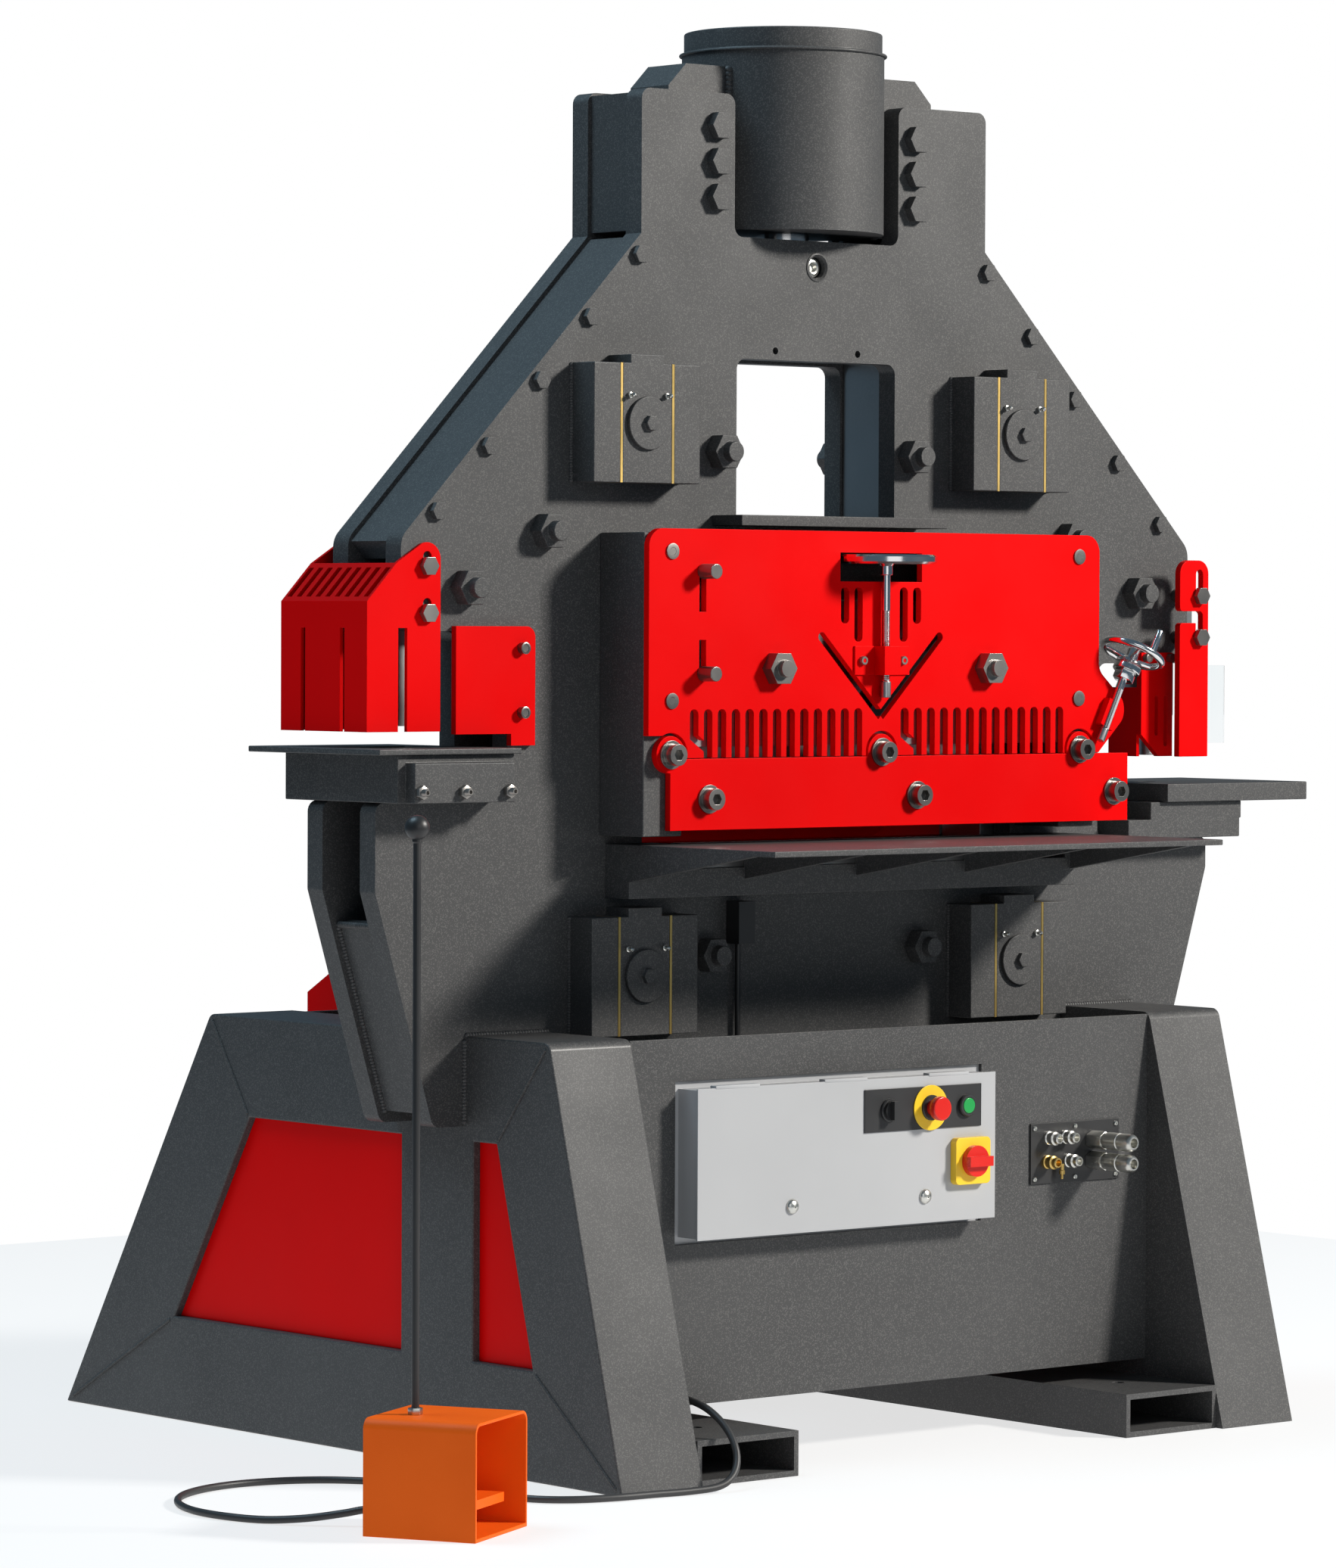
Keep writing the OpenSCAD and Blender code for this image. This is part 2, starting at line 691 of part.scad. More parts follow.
socket_across = 14;
socket_deep = 8;
washer_r = 20;
washer_t = 3;
screw_r = 7;
module through_guard(x0, z0, x1, z1) { box([shear_x + x0, guard_y - over, z0],
    [shear_x + x1, over - housing_d, z1]); }
module v_slots() {
    for (side = [-1, 1]) translate([shear_x, guard_y - over, angle_z]) rotate([0, side * 45, 0])
        {
            translate([-v_slot_w / 2, 0, 0]) cube([v_slot_w, guard_t + 2 * over, v_slot_l]);
            rod_y(0, 0, guard_t + 2 * over, v_slot_l, v_slot_w / 2);
        }
}
module slit(x, z0, z1, low_r) {
    upright([[shear_x + x, z0, low_r], [shear_x + x + slit_w, z0, low_r],
        [shear_x + x + slit_w, z1, slit_r], [shear_x + x, z1, slit_r]], guard_y - over, guard_t + 2 * over);
}
module slit_row(x0) {
    for (i = [1 : slit_count - 1]) slit(x0 + i * slit_pitch, slit_floor, slit_top, 0);
    slit(x0, short_slit_floor, slit_top, 0);
    upright([[shear_x + x0, short_slit_floor + slit_w], [shear_x + x0, short_slit_floor],
        [shear_x + x0 + slit_pitch, slit_foot], [shear_x + x0 + slit_pitch, slit_foot + slit_w]],
        guard_y - over, guard_t + 2 * over);
}
module angle_guard() {
    half = guard_w / 2;
    color(guard_red) on_frame() difference() {
        upright([[shear_x - half, guard_split_z + ear_r + ear_rise, 0],
            [shear_x + ear_xs[0], guard_split_z + ear_r + ear_rise, 0],
            [shear_x + ear_xs[0], guard_split_z, 0], [shear_x + half, guard_split_z, 0],
            [shear_x + bulge_x, bulge_z - guard_r, guard_r], [shear_x + bulge_x, bulge_z, guard_r],
            [shear_x + half, bulge_top, guard_r], [shear_x + half, housing_top + guard_rise, guard_r],
            [shear_x - half, housing_top + guard_rise, guard_r]], guard_y, guard_t);
        for (x = ear_xs) rod_y(shear_x + x, guard_y - over, over - housing_d, guard_split_z + ear_rise,
            ear_r + ear_gap);
        v_slots();
        for (side = [-1, 1], x = [v_slit_in, v_slit_in + v_slit_pitch])
            slit(side * x - slit_w / 2, angle_z + x + v_slit_rise, v_slit_top, slit_r);
        slit_row(left_slit_x);
        slit_row(right_slit_x);
        through_guard(-wheel_r - wheel_room, wheel_top - wheel_t - hold_travel - wheel_room,
            wheel_r + wheel_room, wheel_top + wheel_room / 2);
        for (s = stop_slots) through_guard(stop_x - stop_slot_w / 2, s[0], stop_x + stop_slot_w / 2, s[1]);
        for (p = stud_places) rod_y(shear_x + p.x, guard_y - over, over - housing_d, p.y,
            stud_r + bolt_gap);
        for (p = corner_screws) rod_y(shear_x + p.x, guard_y - over, over - housing_d, p.y,
            screw_r + bolt_gap);
    }
}
module flat_guard() {
    color(guard_red) on_frame() difference() {
        union() {
            upright(rect(shear_x - flat_left, flat_guard_z, shear_x + flat_right,
                guard_split_z - flat_seam, 0), guard_y, guard_t);
            for (x = ear_xs) rod_y(shear_x + x, guard_y, -housing_d, guard_split_z + ear_rise, ear_r);
        }
        for (x = ear_xs) rod_y(shear_x + x, guard_y - over, over - housing_d, guard_split_z + ear_rise,
            screw_r + bolt_gap);
        for (x = low_screw_xs) rod_y(shear_x + x, guard_y - over, over - housing_d, low_screw_z,
            screw_r + bolt_gap);
    }
}
module cap_screw(x, z, y) {
    difference() {
        union() {
            rod_y(x, y - washer_t, y, z, washer_r);
            rod_y(x, y - washer_t - cap_screw_t, y - washer_t, z, cap_screw_r);
            rod_y(x, y - washer_t, y + guard_t, z, screw_r);
        }
        hex_y(x, y - washer_t - cap_screw_t - over, y - washer_t - cap_screw_t + socket_deep, z,
            socket_across);
    }
}
module guard_fasteners() {
    color(dark_steel) on_frame() {
        for (x = ear_xs) cap_screw(shear_x + x, guard_split_z + ear_rise, guard_y);
        for (x = low_screw_xs) cap_screw(shear_x + x, low_screw_z, guard_y);
        for (p = corner_screws) {
            rod_y(shear_x + p.x, guard_y - corner_screw_t, guard_y, p.y, corner_screw_r);
            rod_y(shear_x + p.x, guard_y, -housing_d, p.y, screw_r);
        }
        for (p = stud_places) {
            rod_y(shear_x + p.x, guard_y - stud_nut - stud_end, block_y0, p.y, stud_r);
            hex_y(shear_x + p.x, guard_y - stud_nut, guard_y, p.y, stud_across);
        }
    }
}

// Hold-downs: a vertical screw for angles and a tilted one for bars
hold_out = 10;
hold_y = guard_y - hold_out;
hold_rod_r = 6.35;
hold_pad_r = 7.5;
hold_pad_z = 1052;
hold_pad_h = 23;
hold_hub_r = 9.5;
hold_hub_h = 16;
bracket_half_w = 15.5;
bracket_deep = 25;
bracket_z0 = 1084;
bracket_z1 = 1125;
flange_half_w = 52;
flange_t = 3;
flange_screw_x = 38;
flange_screw_r = 6;
flange_screw_t = 5;
tilt = 27;
tilt_out = 2.5;
tilt_x = guard_w / 2 + tilt_out;
tilt_z = 1005;
tilt_wheel_at = 143;
tilt_wheel_r = 50;
tilt_rim_r = 5.5;
tilt_spoke_r = 4;
tilt_grip_r = 5.5;
tilt_grip_l = 36;
tilt_grip_turn = -95;
tilt_hub_r = 20.5;
tilt_hub_h = 20;
tilt_hub_drop = 10;
tilt_pad_h = 20;
tilt_pad_r = hold_rod_r;
tilt_block_from = 2;
tilt_block_to = 44;
tilt_block_half_w = 13;
tilt_block_front = 3;
tilt_nut_across = 28;
tilt_nut_t = 14;
module angle_hold_screw() {
    color(chrome) on_frame() {
        rod_z(shear_x, hold_y, wheel_top - wheel_t, wheel_top, wheel_r);
        rod_z(shear_x, hold_y, wheel_top - wheel_t - hold_hub_h, wheel_top - wheel_t, hold_hub_r);
        rod_z(shear_x, hold_y, hold_pad_z + hold_pad_h + seat_gap, wheel_top - wheel_t, hold_rod_r);
    }
}
module angle_hold_pad() {
    color(steel) on_frame() rod_z(shear_x, hold_y, hold_pad_z, hold_pad_z + hold_pad_h, hold_pad_r);
}
module tilted() { on_frame() translate([shear_x + tilt_x, hold_y, tilt_z]) rotate([0, tilt,
    0]) children(); }
module bar_hold_screw() {
    rim = tilt_wheel_r - tilt_rim_r;
    color(chrome) tilted() {
        cylinder(h = tilt_wheel_at - tilt_pad_h - tilt_hub_drop, r = hold_rod_r);
        translate([0, 0, tilt_wheel_at - tilt_pad_h]) {
            rotate_extrude() translate([rim, 0]) circle(r = tilt_rim_r);
            for (a = [0, 120, 240]) rotate([0, 0, a]) translate([0, 0, -tilt_hub_drop])
                rotate([0, -atan2(tilt_hub_drop, rim), 0])
                    rod_x(0, norm([rim, tilt_hub_drop]), 0, 0, tilt_spoke_r);
            rotate([0, 0, tilt_grip_turn]) rod_z(rim, 0, 0, tilt_grip_l, tilt_grip_r);
            rod_z(0, 0, -tilt_hub_drop - tilt_hub_h, -tilt_hub_drop, tilt_hub_r);
            rod_z(0, 0, -tilt_hub_drop, tilt_rim_r, hold_hub_r);
            translate([0, 0, -tilt_hub_drop - tilt_hub_h - tilt_nut_t]) cylinder(h = tilt_nut_t,
                r = tilt_nut_across / sqrt(3), $fn = 6);
        }
    }
}
module bar_hold_pad() {
    color(steel) tilted() translate([0, 0, -tilt_pad_h]) cylinder(h = tilt_pad_h - seat_gap,
        r = tilt_pad_r);
}
module hold_down_brackets() {
    color(guard_red) {
        on_frame() difference() {
            union() {
                box([shear_x - bracket_half_w, guard_y - bracket_deep, bracket_z0],
                    [shear_x + bracket_half_w, guard_y, bracket_z1]);
                box([shear_x - flange_half_w, guard_y - flange_t, bracket_z0],
                    [shear_x + flange_half_w, guard_y, bracket_z1]);
                for (side = [-1, 1]) rod_y(shear_x + side * flange_screw_x,
                    guard_y - flange_t - flange_screw_t, guard_y,
                    (bracket_z0 + bracket_z1) / 2, flange_screw_r);
            }
            rod_z(shear_x, hold_y, bracket_z0 - over, bracket_z1 + over, hold_rod_r + round_gap);
        }
        difference() {
            tilted() box([-tilt_block_half_w, -tilt_block_front, tilt_block_from],
                [tilt_block_half_w, guard_y - hold_y, tilt_block_to]);
            tilted() rod_z(0, 0, tilt_block_from - over, tilt_block_to + over, hold_rod_r + round_gap);
        }
    }
}
// Stop pins in the two slots of the upper guard
stop_head_r = 10.5;
stop_head_l = 30;
stop_shank_r = 5.5;
stop_back_r = 11;
stop_back_t = 4;
module stop_pin(z) {
    x = shear_x + stop_x;
    color(dark_steel) on_frame() {
        rod_y(x, guard_y - stop_head_l, guard_y - seat_gap, z, stop_head_r);
        rod_y(x, guard_y - stop_head_l, seat_gap + stop_back_t - housing_d, z, stop_shank_r);
        rod_y(x, seat_gap - housing_d, seat_gap + stop_back_t - housing_d, z, stop_back_r);
    }
}
module upper_stop_pin() { stop_pin(upper_slot_z1 - stop_shank_r - seat_gap); }
module lower_stop_pin() { stop_pin(lower_slot_z0 + stop_shank_r + seat_gap); }

// Notcher at the left end and hole punch at the right end, with X counted from each throat
module at_left() { on_frame() translate([-throat_x, 0, 0]) children(); }
module at_right() { on_frame() translate([throat_x, 0, 0]) children(); }
table_half_d = 136;
block_half_d = 126;
notch_table_x0 = -266;
notch_table_x1 = -23;
notch_top = 986;
notch_block_x0 = -228;
notch_block_x1 = -28;
notch_punch_x0 = -190;
notch_punch_x1 = -90;
notch_punch_z = 1015;
notch_room = 8;
punch_x = 175;
punch_ram_r = 40;
punch_ram_z = 1020;
punch_tip_r = 12;
punch_tip_z = 960;
die_r = 15;
slug_r = 20;
punch_block_x0 = plate_r + run_gap;
punch_block_x1 = 252;
punch_step_z = 867;
punch_block_top = 893;
punch_step_in = 3;
punch_step_out = 46;
clamp_x0 = -214;
clamp_x1 = -42;
clamp_d = 20;
clamp_h = 54;
notch_table_back = 24;
punch_table_x0 = 87;
punch_table_x1 = 383;
punch_table_t = 27;
module notch_punch() {
    color(steel) at_left() box([notch_punch_x0, beam_y0, notch_punch_z],
        [notch_punch_x1, beam_y0 + beam_t, left_throat_top + arm_rise]);
}
module notch_cut(z0, z1) {
    box([notch_punch_x0 - notch_room, beam_y0 - notch_room, z0],
        [notch_punch_x1 + notch_room, beam_y0 + beam_t + notch_room, z1]);
}
module hole_punch() {
    color(steel) at_right() {
        rod_z(punch_x, mid_y, punch_ram_z, right_throat_top + arm_rise, punch_ram_r);
        rod_z(punch_x, mid_y, punch_tip_z, punch_ram_z, punch_tip_r);
    }
}
module die_blocks() {
    color(dark_steel) {
        at_left() {
            difference() {
                box([notch_block_x0, mid_y - block_half_d, left_jaw_z],
                    [notch_block_x1, mid_y + block_half_d, notch_top - table_t]);
                notch_cut(left_jaw_z - over, notch_top);
            }
            box([clamp_x0, mid_y - block_half_d - clamp_d, left_jaw_z],
                [clamp_x1, mid_y - block_half_d, left_jaw_z + clamp_h]);
        }
        at_right() difference() {
            union() {
                box([punch_block_x0, mid_y - block_half_d, right_jaw_z],
                    [punch_block_x1 - punch_step_in, mid_y + block_half_d, punch_step_z]);
                box([punch_block_x0 + punch_step_out, mid_y - block_half_d, punch_step_z],
                    [punch_block_x1, mid_y + block_half_d, punch_block_top]);
            }
            rod_z(punch_x, mid_y, right_jaw_z - over, punch_block_top + over, slug_r);
        }
    }
}
module side_tables() {
    color(charcoal) at_left() difference() {
        box([notch_table_x0, mid_y - table_half_d, notch_top - table_t],
            [notch_table_x1, mid_y + table_half_d + notch_table_back, notch_top]);
        notch_cut(notch_top - table_t - over, notch_top + over);
    }
    color(charcoal) at_right() difference() {
        box([punch_table_x0, mid_y - table_half_d, punch_block_top],
            [punch_table_x1, mid_y + table_half_d, punch_block_top + punch_table_t]);
        rod_z(punch_x, mid_y, punch_block_top - over, punch_block_top + punch_table_t + over, die_r);
    }
}
// Guards of the side stations: two slide down on bolts, two are fixed
sheet_t = 6;
sheet_gap = 0.5;
notch_lift = 13;
punch_lift = 32;
notch_guard_x0 = -247;
notch_guard_x1 = -122;
notch_guard_back = 35;
notch_guard_z0 = 1008;
roof_z0 = 1184;
roof_x1 = -197;
roof_z1 = 1236;
crest_x = -140;
crest_z = 1271;
crest_r = 22;
roof_slots = 9;
roof_slot_share = 0.5;
roof_end_share = 0.12;
notch_bolt_x = -145;
notch_bolt_z = 1168.5;
notch_bolt_pitch = 63.5;
notch_bolt_zs = [notch_bolt_z, notch_bolt_z + notch_bolt_pitch];
guard_slot_r = 7;
side_slit_w = 10;
side_slit_z0 = notch_guard_z0 - over;
side_slit_z1 = 1148;
front_slit_x = -194;
front_slit_w = 15;
side_slit_shares = [0.26, 0.715];
punch_guard_x0 = 120;
punch_guard_x1 = 180;
punch_guard_z0 = 960;
punch_guard_z1 = 1253;
punch_guard_y = -50;
punch_guard_t = 11;
punch_guard_r = 20;
hook_h = 17.5;
hook_r = 6;
punch_bolt_x = 161;
punch_bolt_z = 1138;
punch_bolt_pitch = 62;
punch_bolt_zs = [punch_bolt_z, punch_bolt_z + punch_bolt_pitch];
guard_bolt_r = 6;
guard_bolt_head_r = 12;
guard_bolt_head = 9;
standoff_r = 11;
shield_x0 = 130;
shield_x1 = 226;
shield_z0 = 980;
shield_z1 = 1096;
shield_t = 5;
plate_guard_t = 10;
fixed_screw_z = 1033;
fixed_screw_pitch = 88;
fixed_screw_zs = [fixed_screw_z, fixed_screw_z + fixed_screw_pitch];
fixed_screw_in = 16;
fixed_head_r = 8;
small_screw_r = 4;
small_head_r = 6.5;
function notch_guard_pts() = [[notch_guard_x0, notch_guard_z0, 0], [notch_guard_x1, notch_guard_z0, 0],
    [notch_guard_x1, crest_z - crest_r, crest_r], [crest_x, crest_z, crest_r], [roof_x1, roof_z1, 0],
        [notch_guard_x0, roof_z0, 0]];
module guard_slot(x, z, lift, y0, t) {
    upright(rect(x - guard_slot_r, z - guard_slot_r, x + guard_slot_r, z + lift + guard_slot_r,
        guard_slot_r - seat_gap), y0 - over, t + 2 * over);
}
module notch_guard() {
    y0 = -sheet_gap - sheet_t;
    y1 = frame_d + notch_guard_back;
    side_d = y1 - y0;
    roof_run = [roof_x1 - notch_guard_x0, roof_z1 - roof_z0];
    roof_dir = unit(roof_run);
    roof_under = [roof_dir.y, -roof_dir.x] * sheet_t;
    slot_w = side_d / roof_slots * roof_slot_share;
    color(guard_red) at_left() difference() {
        union() {
            upright(notch_guard_pts(), y0, sheet_t);
            upright(notch_guard_pts(), y1 - sheet_t, sheet_t);
            box([notch_guard_x0, y0, notch_guard_z0], [notch_guard_x0 + sheet_t, y1, roof_z0]);
            upright([[notch_guard_x0, roof_z0], [roof_x1, roof_z1], [roof_x1, roof_z1] + roof_under,
                [notch_guard_x0, roof_z0] + roof_under], y0, side_d);
        }
        for (i = [0 : roof_slots - 1]) translate([0,
            y0 + side_d * (i + roof_slot_share) / roof_slots - slot_w / 2, 0])
            upright([[notch_guard_x0, roof_z0] + roof_run * roof_end_share - roof_under,
                [notch_guard_x0, roof_z0] + roof_run * (1 - roof_end_share) - roof_under,
                [notch_guard_x0, roof_z0] + roof_run * (1 - roof_end_share) + 2 * roof_under,
                [notch_guard_x0, roof_z0] + roof_run * roof_end_share + 2 * roof_under], 0, slot_w);
        for (z = notch_bolt_zs) guard_slot(notch_bolt_x, z, notch_lift, y0, sheet_t);
        for (share = side_slit_shares) box([notch_guard_x0 - over, y0 + share * side_d, side_slit_z0],
            [notch_guard_x0 + sheet_t + over, y0 + share * side_d + side_slit_w, side_slit_z1]);
        box([front_slit_x, y0 - over, side_slit_z0],
            [front_slit_x + front_slit_w, y0 + sheet_t + over, side_slit_z1]);
    }
}
module punch_guard() {
    hook_top = punch_bolt_z + punch_lift + guard_slot_r;
    color(guard_red) at_right() difference() {
        upright([[punch_guard_x0, punch_guard_z0, 0], [punch_guard_x1, punch_guard_z0, 0],
            [punch_guard_x1, punch_guard_z1, punch_guard_r],
                [punch_guard_x0, punch_guard_z1, punch_guard_r],
            [punch_guard_x0, hook_top, hook_r], [punch_bolt_x, hook_top, 0],
            [punch_bolt_x, hook_top - hook_h, 0], [punch_guard_x0, hook_top - hook_h, hook_r]],
            punch_guard_y, punch_guard_t);
        for (z = punch_bolt_zs) guard_slot(punch_bolt_x, z, punch_lift, punch_guard_y, punch_guard_t);
    }
}
module clear_shield() {
    color([0.8, 0.9, 0.95, 0.3]) at_right()
        upright(rect(shield_x0, shield_z0, shield_x1, shield_z1, 0), punch_guard_y + punch_guard_t,
            shield_t);
}
fixed_in = 40;
notch_fixed_out = 98;
notch_fixed_step = 2;
notch_fixed_step_z = 1004;
notch_fixed_top = 1151;
punch_fixed_x0 = 80;
punch_fixed_x1 = 145;
punch_fixed_z0 = 960;
punch_fixed_rise = 16;
punch_fixed_z1 = right_throat_top + punch_fixed_rise;
punch_fixed_cut_w = 37;
punch_fixed_cut_h = 33;
punch_wall_back = 60;
punch_wall_drop = 52;
punch_screw_in = 8;
punch_screw_xs = [punch_fixed_x0 + punch_screw_in, punch_fixed_x1 - punch_screw_in];
fixed_slit_w = 7;
fixed_slit_in = 28;
fixed_slit_pitch = 19;
fixed_slit_z0 = 991;
fixed_slit_step = 16;
fixed_slit_z1 = 1051;
module side_guards() {
    color(guard_red) {
        at_left() difference() {
            upright([[-notch_fixed_out, notch_fixed_step_z, 0], [-notch_fixed_step, notch_fixed_step_z, 0],
                [-notch_fixed_step, notch_top + over, 0], [fixed_in, notch_top + over, 0],
                [fixed_in, notch_fixed_top, plate_r],
                [-notch_fixed_out, notch_fixed_top, 0]], -plate_guard_t, plate_guard_t);
            for (z = fixed_screw_zs) rod_y(fixed_screw_in, -plate_guard_t - over, over, z,
                guard_bolt_r + bolt_gap);
        }
        at_right() difference() {
            union() {
                upright([[punch_fixed_x0, punch_fixed_z0 + punch_fixed_cut_h],
                    [punch_fixed_x0 + punch_fixed_cut_w, punch_fixed_z0], [punch_fixed_x1, punch_fixed_z0],
                    [punch_fixed_x1, punch_fixed_z1], [punch_fixed_x0, punch_fixed_z1]], -plate_guard_t,
                    plate_guard_t);
                box([punch_fixed_x0, -plate_guard_t, punch_fixed_z0 + punch_fixed_cut_h],
                    [punch_fixed_x0 + sheet_t, punch_wall_back, punch_fixed_z1 - punch_wall_drop]);
                box([punch_fixed_x0, 0, punch_fixed_z0],
                    [punch_fixed_x0 + sheet_t, punch_wall_back, punch_fixed_z0 + punch_fixed_cut_h + over]);
            }
            for (x = punch_screw_xs) rod_y(x, -plate_guard_t - over, over, punch_fixed_z1 - punch_screw_in,
                small_screw_r + bolt_gap);
            for (i = [0, 1]) upright(rect(punch_fixed_x0 + fixed_slit_in + i * fixed_slit_pitch,
                fixed_slit_z0 - i * fixed_slit_step,
                punch_fixed_x0 + fixed_slit_in + i * fixed_slit_pitch + fixed_slit_w, fixed_slit_z1,
                fixed_slit_w / 2 - seat_gap), -plate_guard_t - over, plate_guard_t + 2 * over);
        }
    }
}
module fixed_screw(x, z, r, head_r) {
    rod_y(x, -plate_guard_t - guard_bolt_head, -plate_guard_t, z, head_r);
    rod_y(x, -plate_guard_t, 0, z, r);
}
module side_guard_bolts() {
    y0 = -sheet_gap - sheet_t - sheet_gap;
    color(dark_steel) {
        at_left() for (z = notch_bolt_zs) {
            hex_y(notch_bolt_x, y0 - guard_bolt_head, y0, z, 2 * guard_bolt_head_r);
            rod_y(notch_bolt_x, y0, 0, z, guard_bolt_r);
        }
        at_right() for (z = punch_bolt_zs) {
            hex_y(punch_bolt_x, punch_guard_y - sheet_gap - guard_bolt_head, punch_guard_y - sheet_gap,
                z, 2 * guard_bolt_head_r);
            rod_y(punch_bolt_x, punch_guard_y - sheet_gap, 0, z, guard_bolt_r);
            rod_y(punch_bolt_x, punch_guard_y + punch_guard_t + sheet_gap, 0, z, standoff_r);
        }
        at_left() for (z = fixed_screw_zs) fixed_screw(fixed_screw_in, z, guard_bolt_r, fixed_head_r);
        at_right() for (x = punch_screw_xs) fixed_screw(x, punch_fixed_z1 - punch_screw_in, small_screw_r,
            small_head_r);
    }
}
// Tables
shear_table_in = 11.5;
shear_table_out = 4.5;
ledge_y = -52;
gusset_t = 10;
gusset_in = 18;
gusset_drop = 52;
gusset_count = 5;
tool_half_w = 195;
tool_front = 65;
tool_t = 15;
module shear_table() {
    x0 = shear_x - guard_w / 2 + shear_table_in;
    x1 = shear_x + guard_w / 2 + shear_table_out;
    color(charcoal) on_frame() {
        difference() {
            union() {
                box([x0, -shear_table_reach, shear_table_z - table_t], [x1, 0, shear_table_z]);
                box([x0, ledge_y, ledge_z], [x1, 0, ledge_top]);
                for (i = [0 : gusset_count - 1]) sideways([[gusset_in - shear_table_reach,
                    shear_table_z - table_t / 2],
                    [ledge_y + over, shear_table_z - table_t / 2],
                        [ledge_y + over, shear_table_z - gusset_drop]],
                    x0 + (x1 - x0 - gusset_t) * i / (gusset_count - 1), gusset_t);
                for (x = [x0, x1 - gusset_in]) box([x, ledge_y, ledge_top - over],
                    [x + gusset_in, 0, shear_table_z - table_t / 2]);
            }
            box([shear_x - carriage_half_w, -blade_t - blade_gap - lower_blade_t, ledge_top],
                [shear_x + carriage_half_w, over, shear_table_z + over]);
        }
    }
}
module tool_table() {
    color(charcoal) on_frame() {
        box([-tool_half_w, -tool_front, window_floor], [tool_half_w, -seat_gap, window_floor + tool_t]);
        upright([[plate_r - window_half_w, window_floor], [window_half_w - plate_r, window_floor],
            [window_half_w - over, window_floor + plate_r - over],
                [window_half_w - over, window_floor + tool_t],
            [over - window_half_w, window_floor + tool_t],
                [over - window_half_w, window_floor + plate_r - over]],
            -tool_front, frame_d + 2 * tool_front);
    }
}

// Base: two welded side frames, panels, fork tubes and the power unit
tube_wall = 8;
vent_r = 8;
post_y0 = -19;
post_w = 160;
panel_set_back = 12;
side_panel_t = 4;
panel_y = -180;
panel_t = 6;
panel_z0 = 87;
panel_z1 = 590;
rear_panel_y = 585;
fork_in = 14;
anchor_x = base_in - fork_w / 2;
function front_leg_y(z) = front_leg_w - front_foot + (front_foot - front_top) * z / base_top;
function rear_leg_y(z) = rear_foot - rear_leg_w - (rear_foot - rear_top) * z / base_top;
side_z0 = bottom_tube_h;
side_z1 = base_top - top_tube_h;
function front_gap() = [[front_leg_y(side_z0), side_z0, 0], [post_y0, side_z0, 0],
    [post_y0, side_z1, 0], [front_leg_y(side_z1), side_z1, 0]];
function rear_gap() = [[post_y0 + post_w, side_z0, 0], [rear_leg_y(side_z0), side_z0, 0],
    [rear_leg_y(side_z1), side_z1, 0], [post_y0 + post_w, side_z1, 0]];
function side_outline(wall) = [[wall - front_foot, wall, 0], [rear_foot - 2 * wall, wall, 0],
    [rear_top - wall, base_top - wall, wall > 0 ? 0 : plate_r],
        [wall - front_top, base_top - wall, wall > 0 ? 0 : plate_r]];
function grown(pts, wall) = let (y = [for (p = pts) p.x], z = [for (p = pts) p.y],
    my = (min(y) + max(y)) / 2,
    mz = (min(z) + max(z)) / 2) [for (p = pts) [p.x + wall * sign(p.x - my), p.y + wall * sign(p.y - mz),
        0]];
module base_frame() {
    difference() {
        sideways(side_outline(0), base_in, tube_w);
        sideways(front_gap(), base_in - over, tube_w + 2 * over);
        sideways(rear_gap(), base_in - over, tube_w + 2 * over);
        difference() {
            sideways(side_outline(2 * tube_wall), base_in + tube_wall, tube_w - 2 * tube_wall);
            sideways(grown(front_gap(), tube_wall), base_in, tube_w);
            sideways(grown(rear_gap(), tube_wall), base_in, tube_w);
        }
        rod_z(base_in + tube_w / 2, base_mid, -over, bottom_tube_h / 2, vent_r);
    }
}
module right_base_frame() { color(charcoal) on_frame() base_frame(); }
module left_base_frame() { color(charcoal) on_frame() mirror([1, 0, 0]) base_frame(); }
module base_panels() {
    color(guard_red) on_frame() both_sides() {
        sideways(front_gap(), base_in + tube_w - panel_set_back - side_panel_t, side_panel_t);
        sideways(rear_gap(), base_in + tube_w - panel_set_back - side_panel_t, side_panel_t);
    }
}
box_x0 = -399;
box_z0 = 318;
box_cut = 10;
box_deep = 150;
box_wall = 3;
box_flange = 25;
lid_lip = 2;
box_front = panel_y - box_proud;
box_x1 = box_x0 + box_w;
box_z1 = box_z0 + box_h;
cable_exit_x = -455;
cable_exit_z = 112;
cable_hole_r = 7;
module front_panel() {
    color(charcoal) on_frame() difference() {
        box([-base_in, panel_y, panel_z0], [base_in, panel_y + panel_t, panel_z1]);
        box([box_x0 - box_cut, panel_y - over, box_z0 - box_cut],
            [box_x1 + box_cut, panel_y + panel_t + over, box_z1 + box_cut]);
        rod_y(cable_exit_x, panel_y - over, panel_y + panel_t + over, cable_exit_z, cable_hole_r);
    }
}
module rear_panel() {
    color(charcoal) on_frame() box([-base_in, rear_panel_y, panel_z0],
        [base_in, rear_panel_y + panel_t, panel_z1]);
}
module fork_tubes() {
    y0 = fork_in - front_foot;
    y1 = rear_foot - fork_in;
    color(charcoal) on_frame() both_sides() difference() {
        box([base_in - fork_w, y0, 0], [base_in, y1, fork_h]);
        box([base_in - fork_w + fork_wall, y0 - over, fork_wall],
            [base_in - fork_wall, y1 + over, fork_h - fork_wall]);
        for (y = [y0 + anchor_inset, y1 - anchor_inset]) rod_z(anchor_x, y, -over, fork_h + over,
            anchor_d / 2);
    }
}
tank_half_w = 400;
tank_y0 = 300;
tank_y1 = 540;
tank_top = 300;
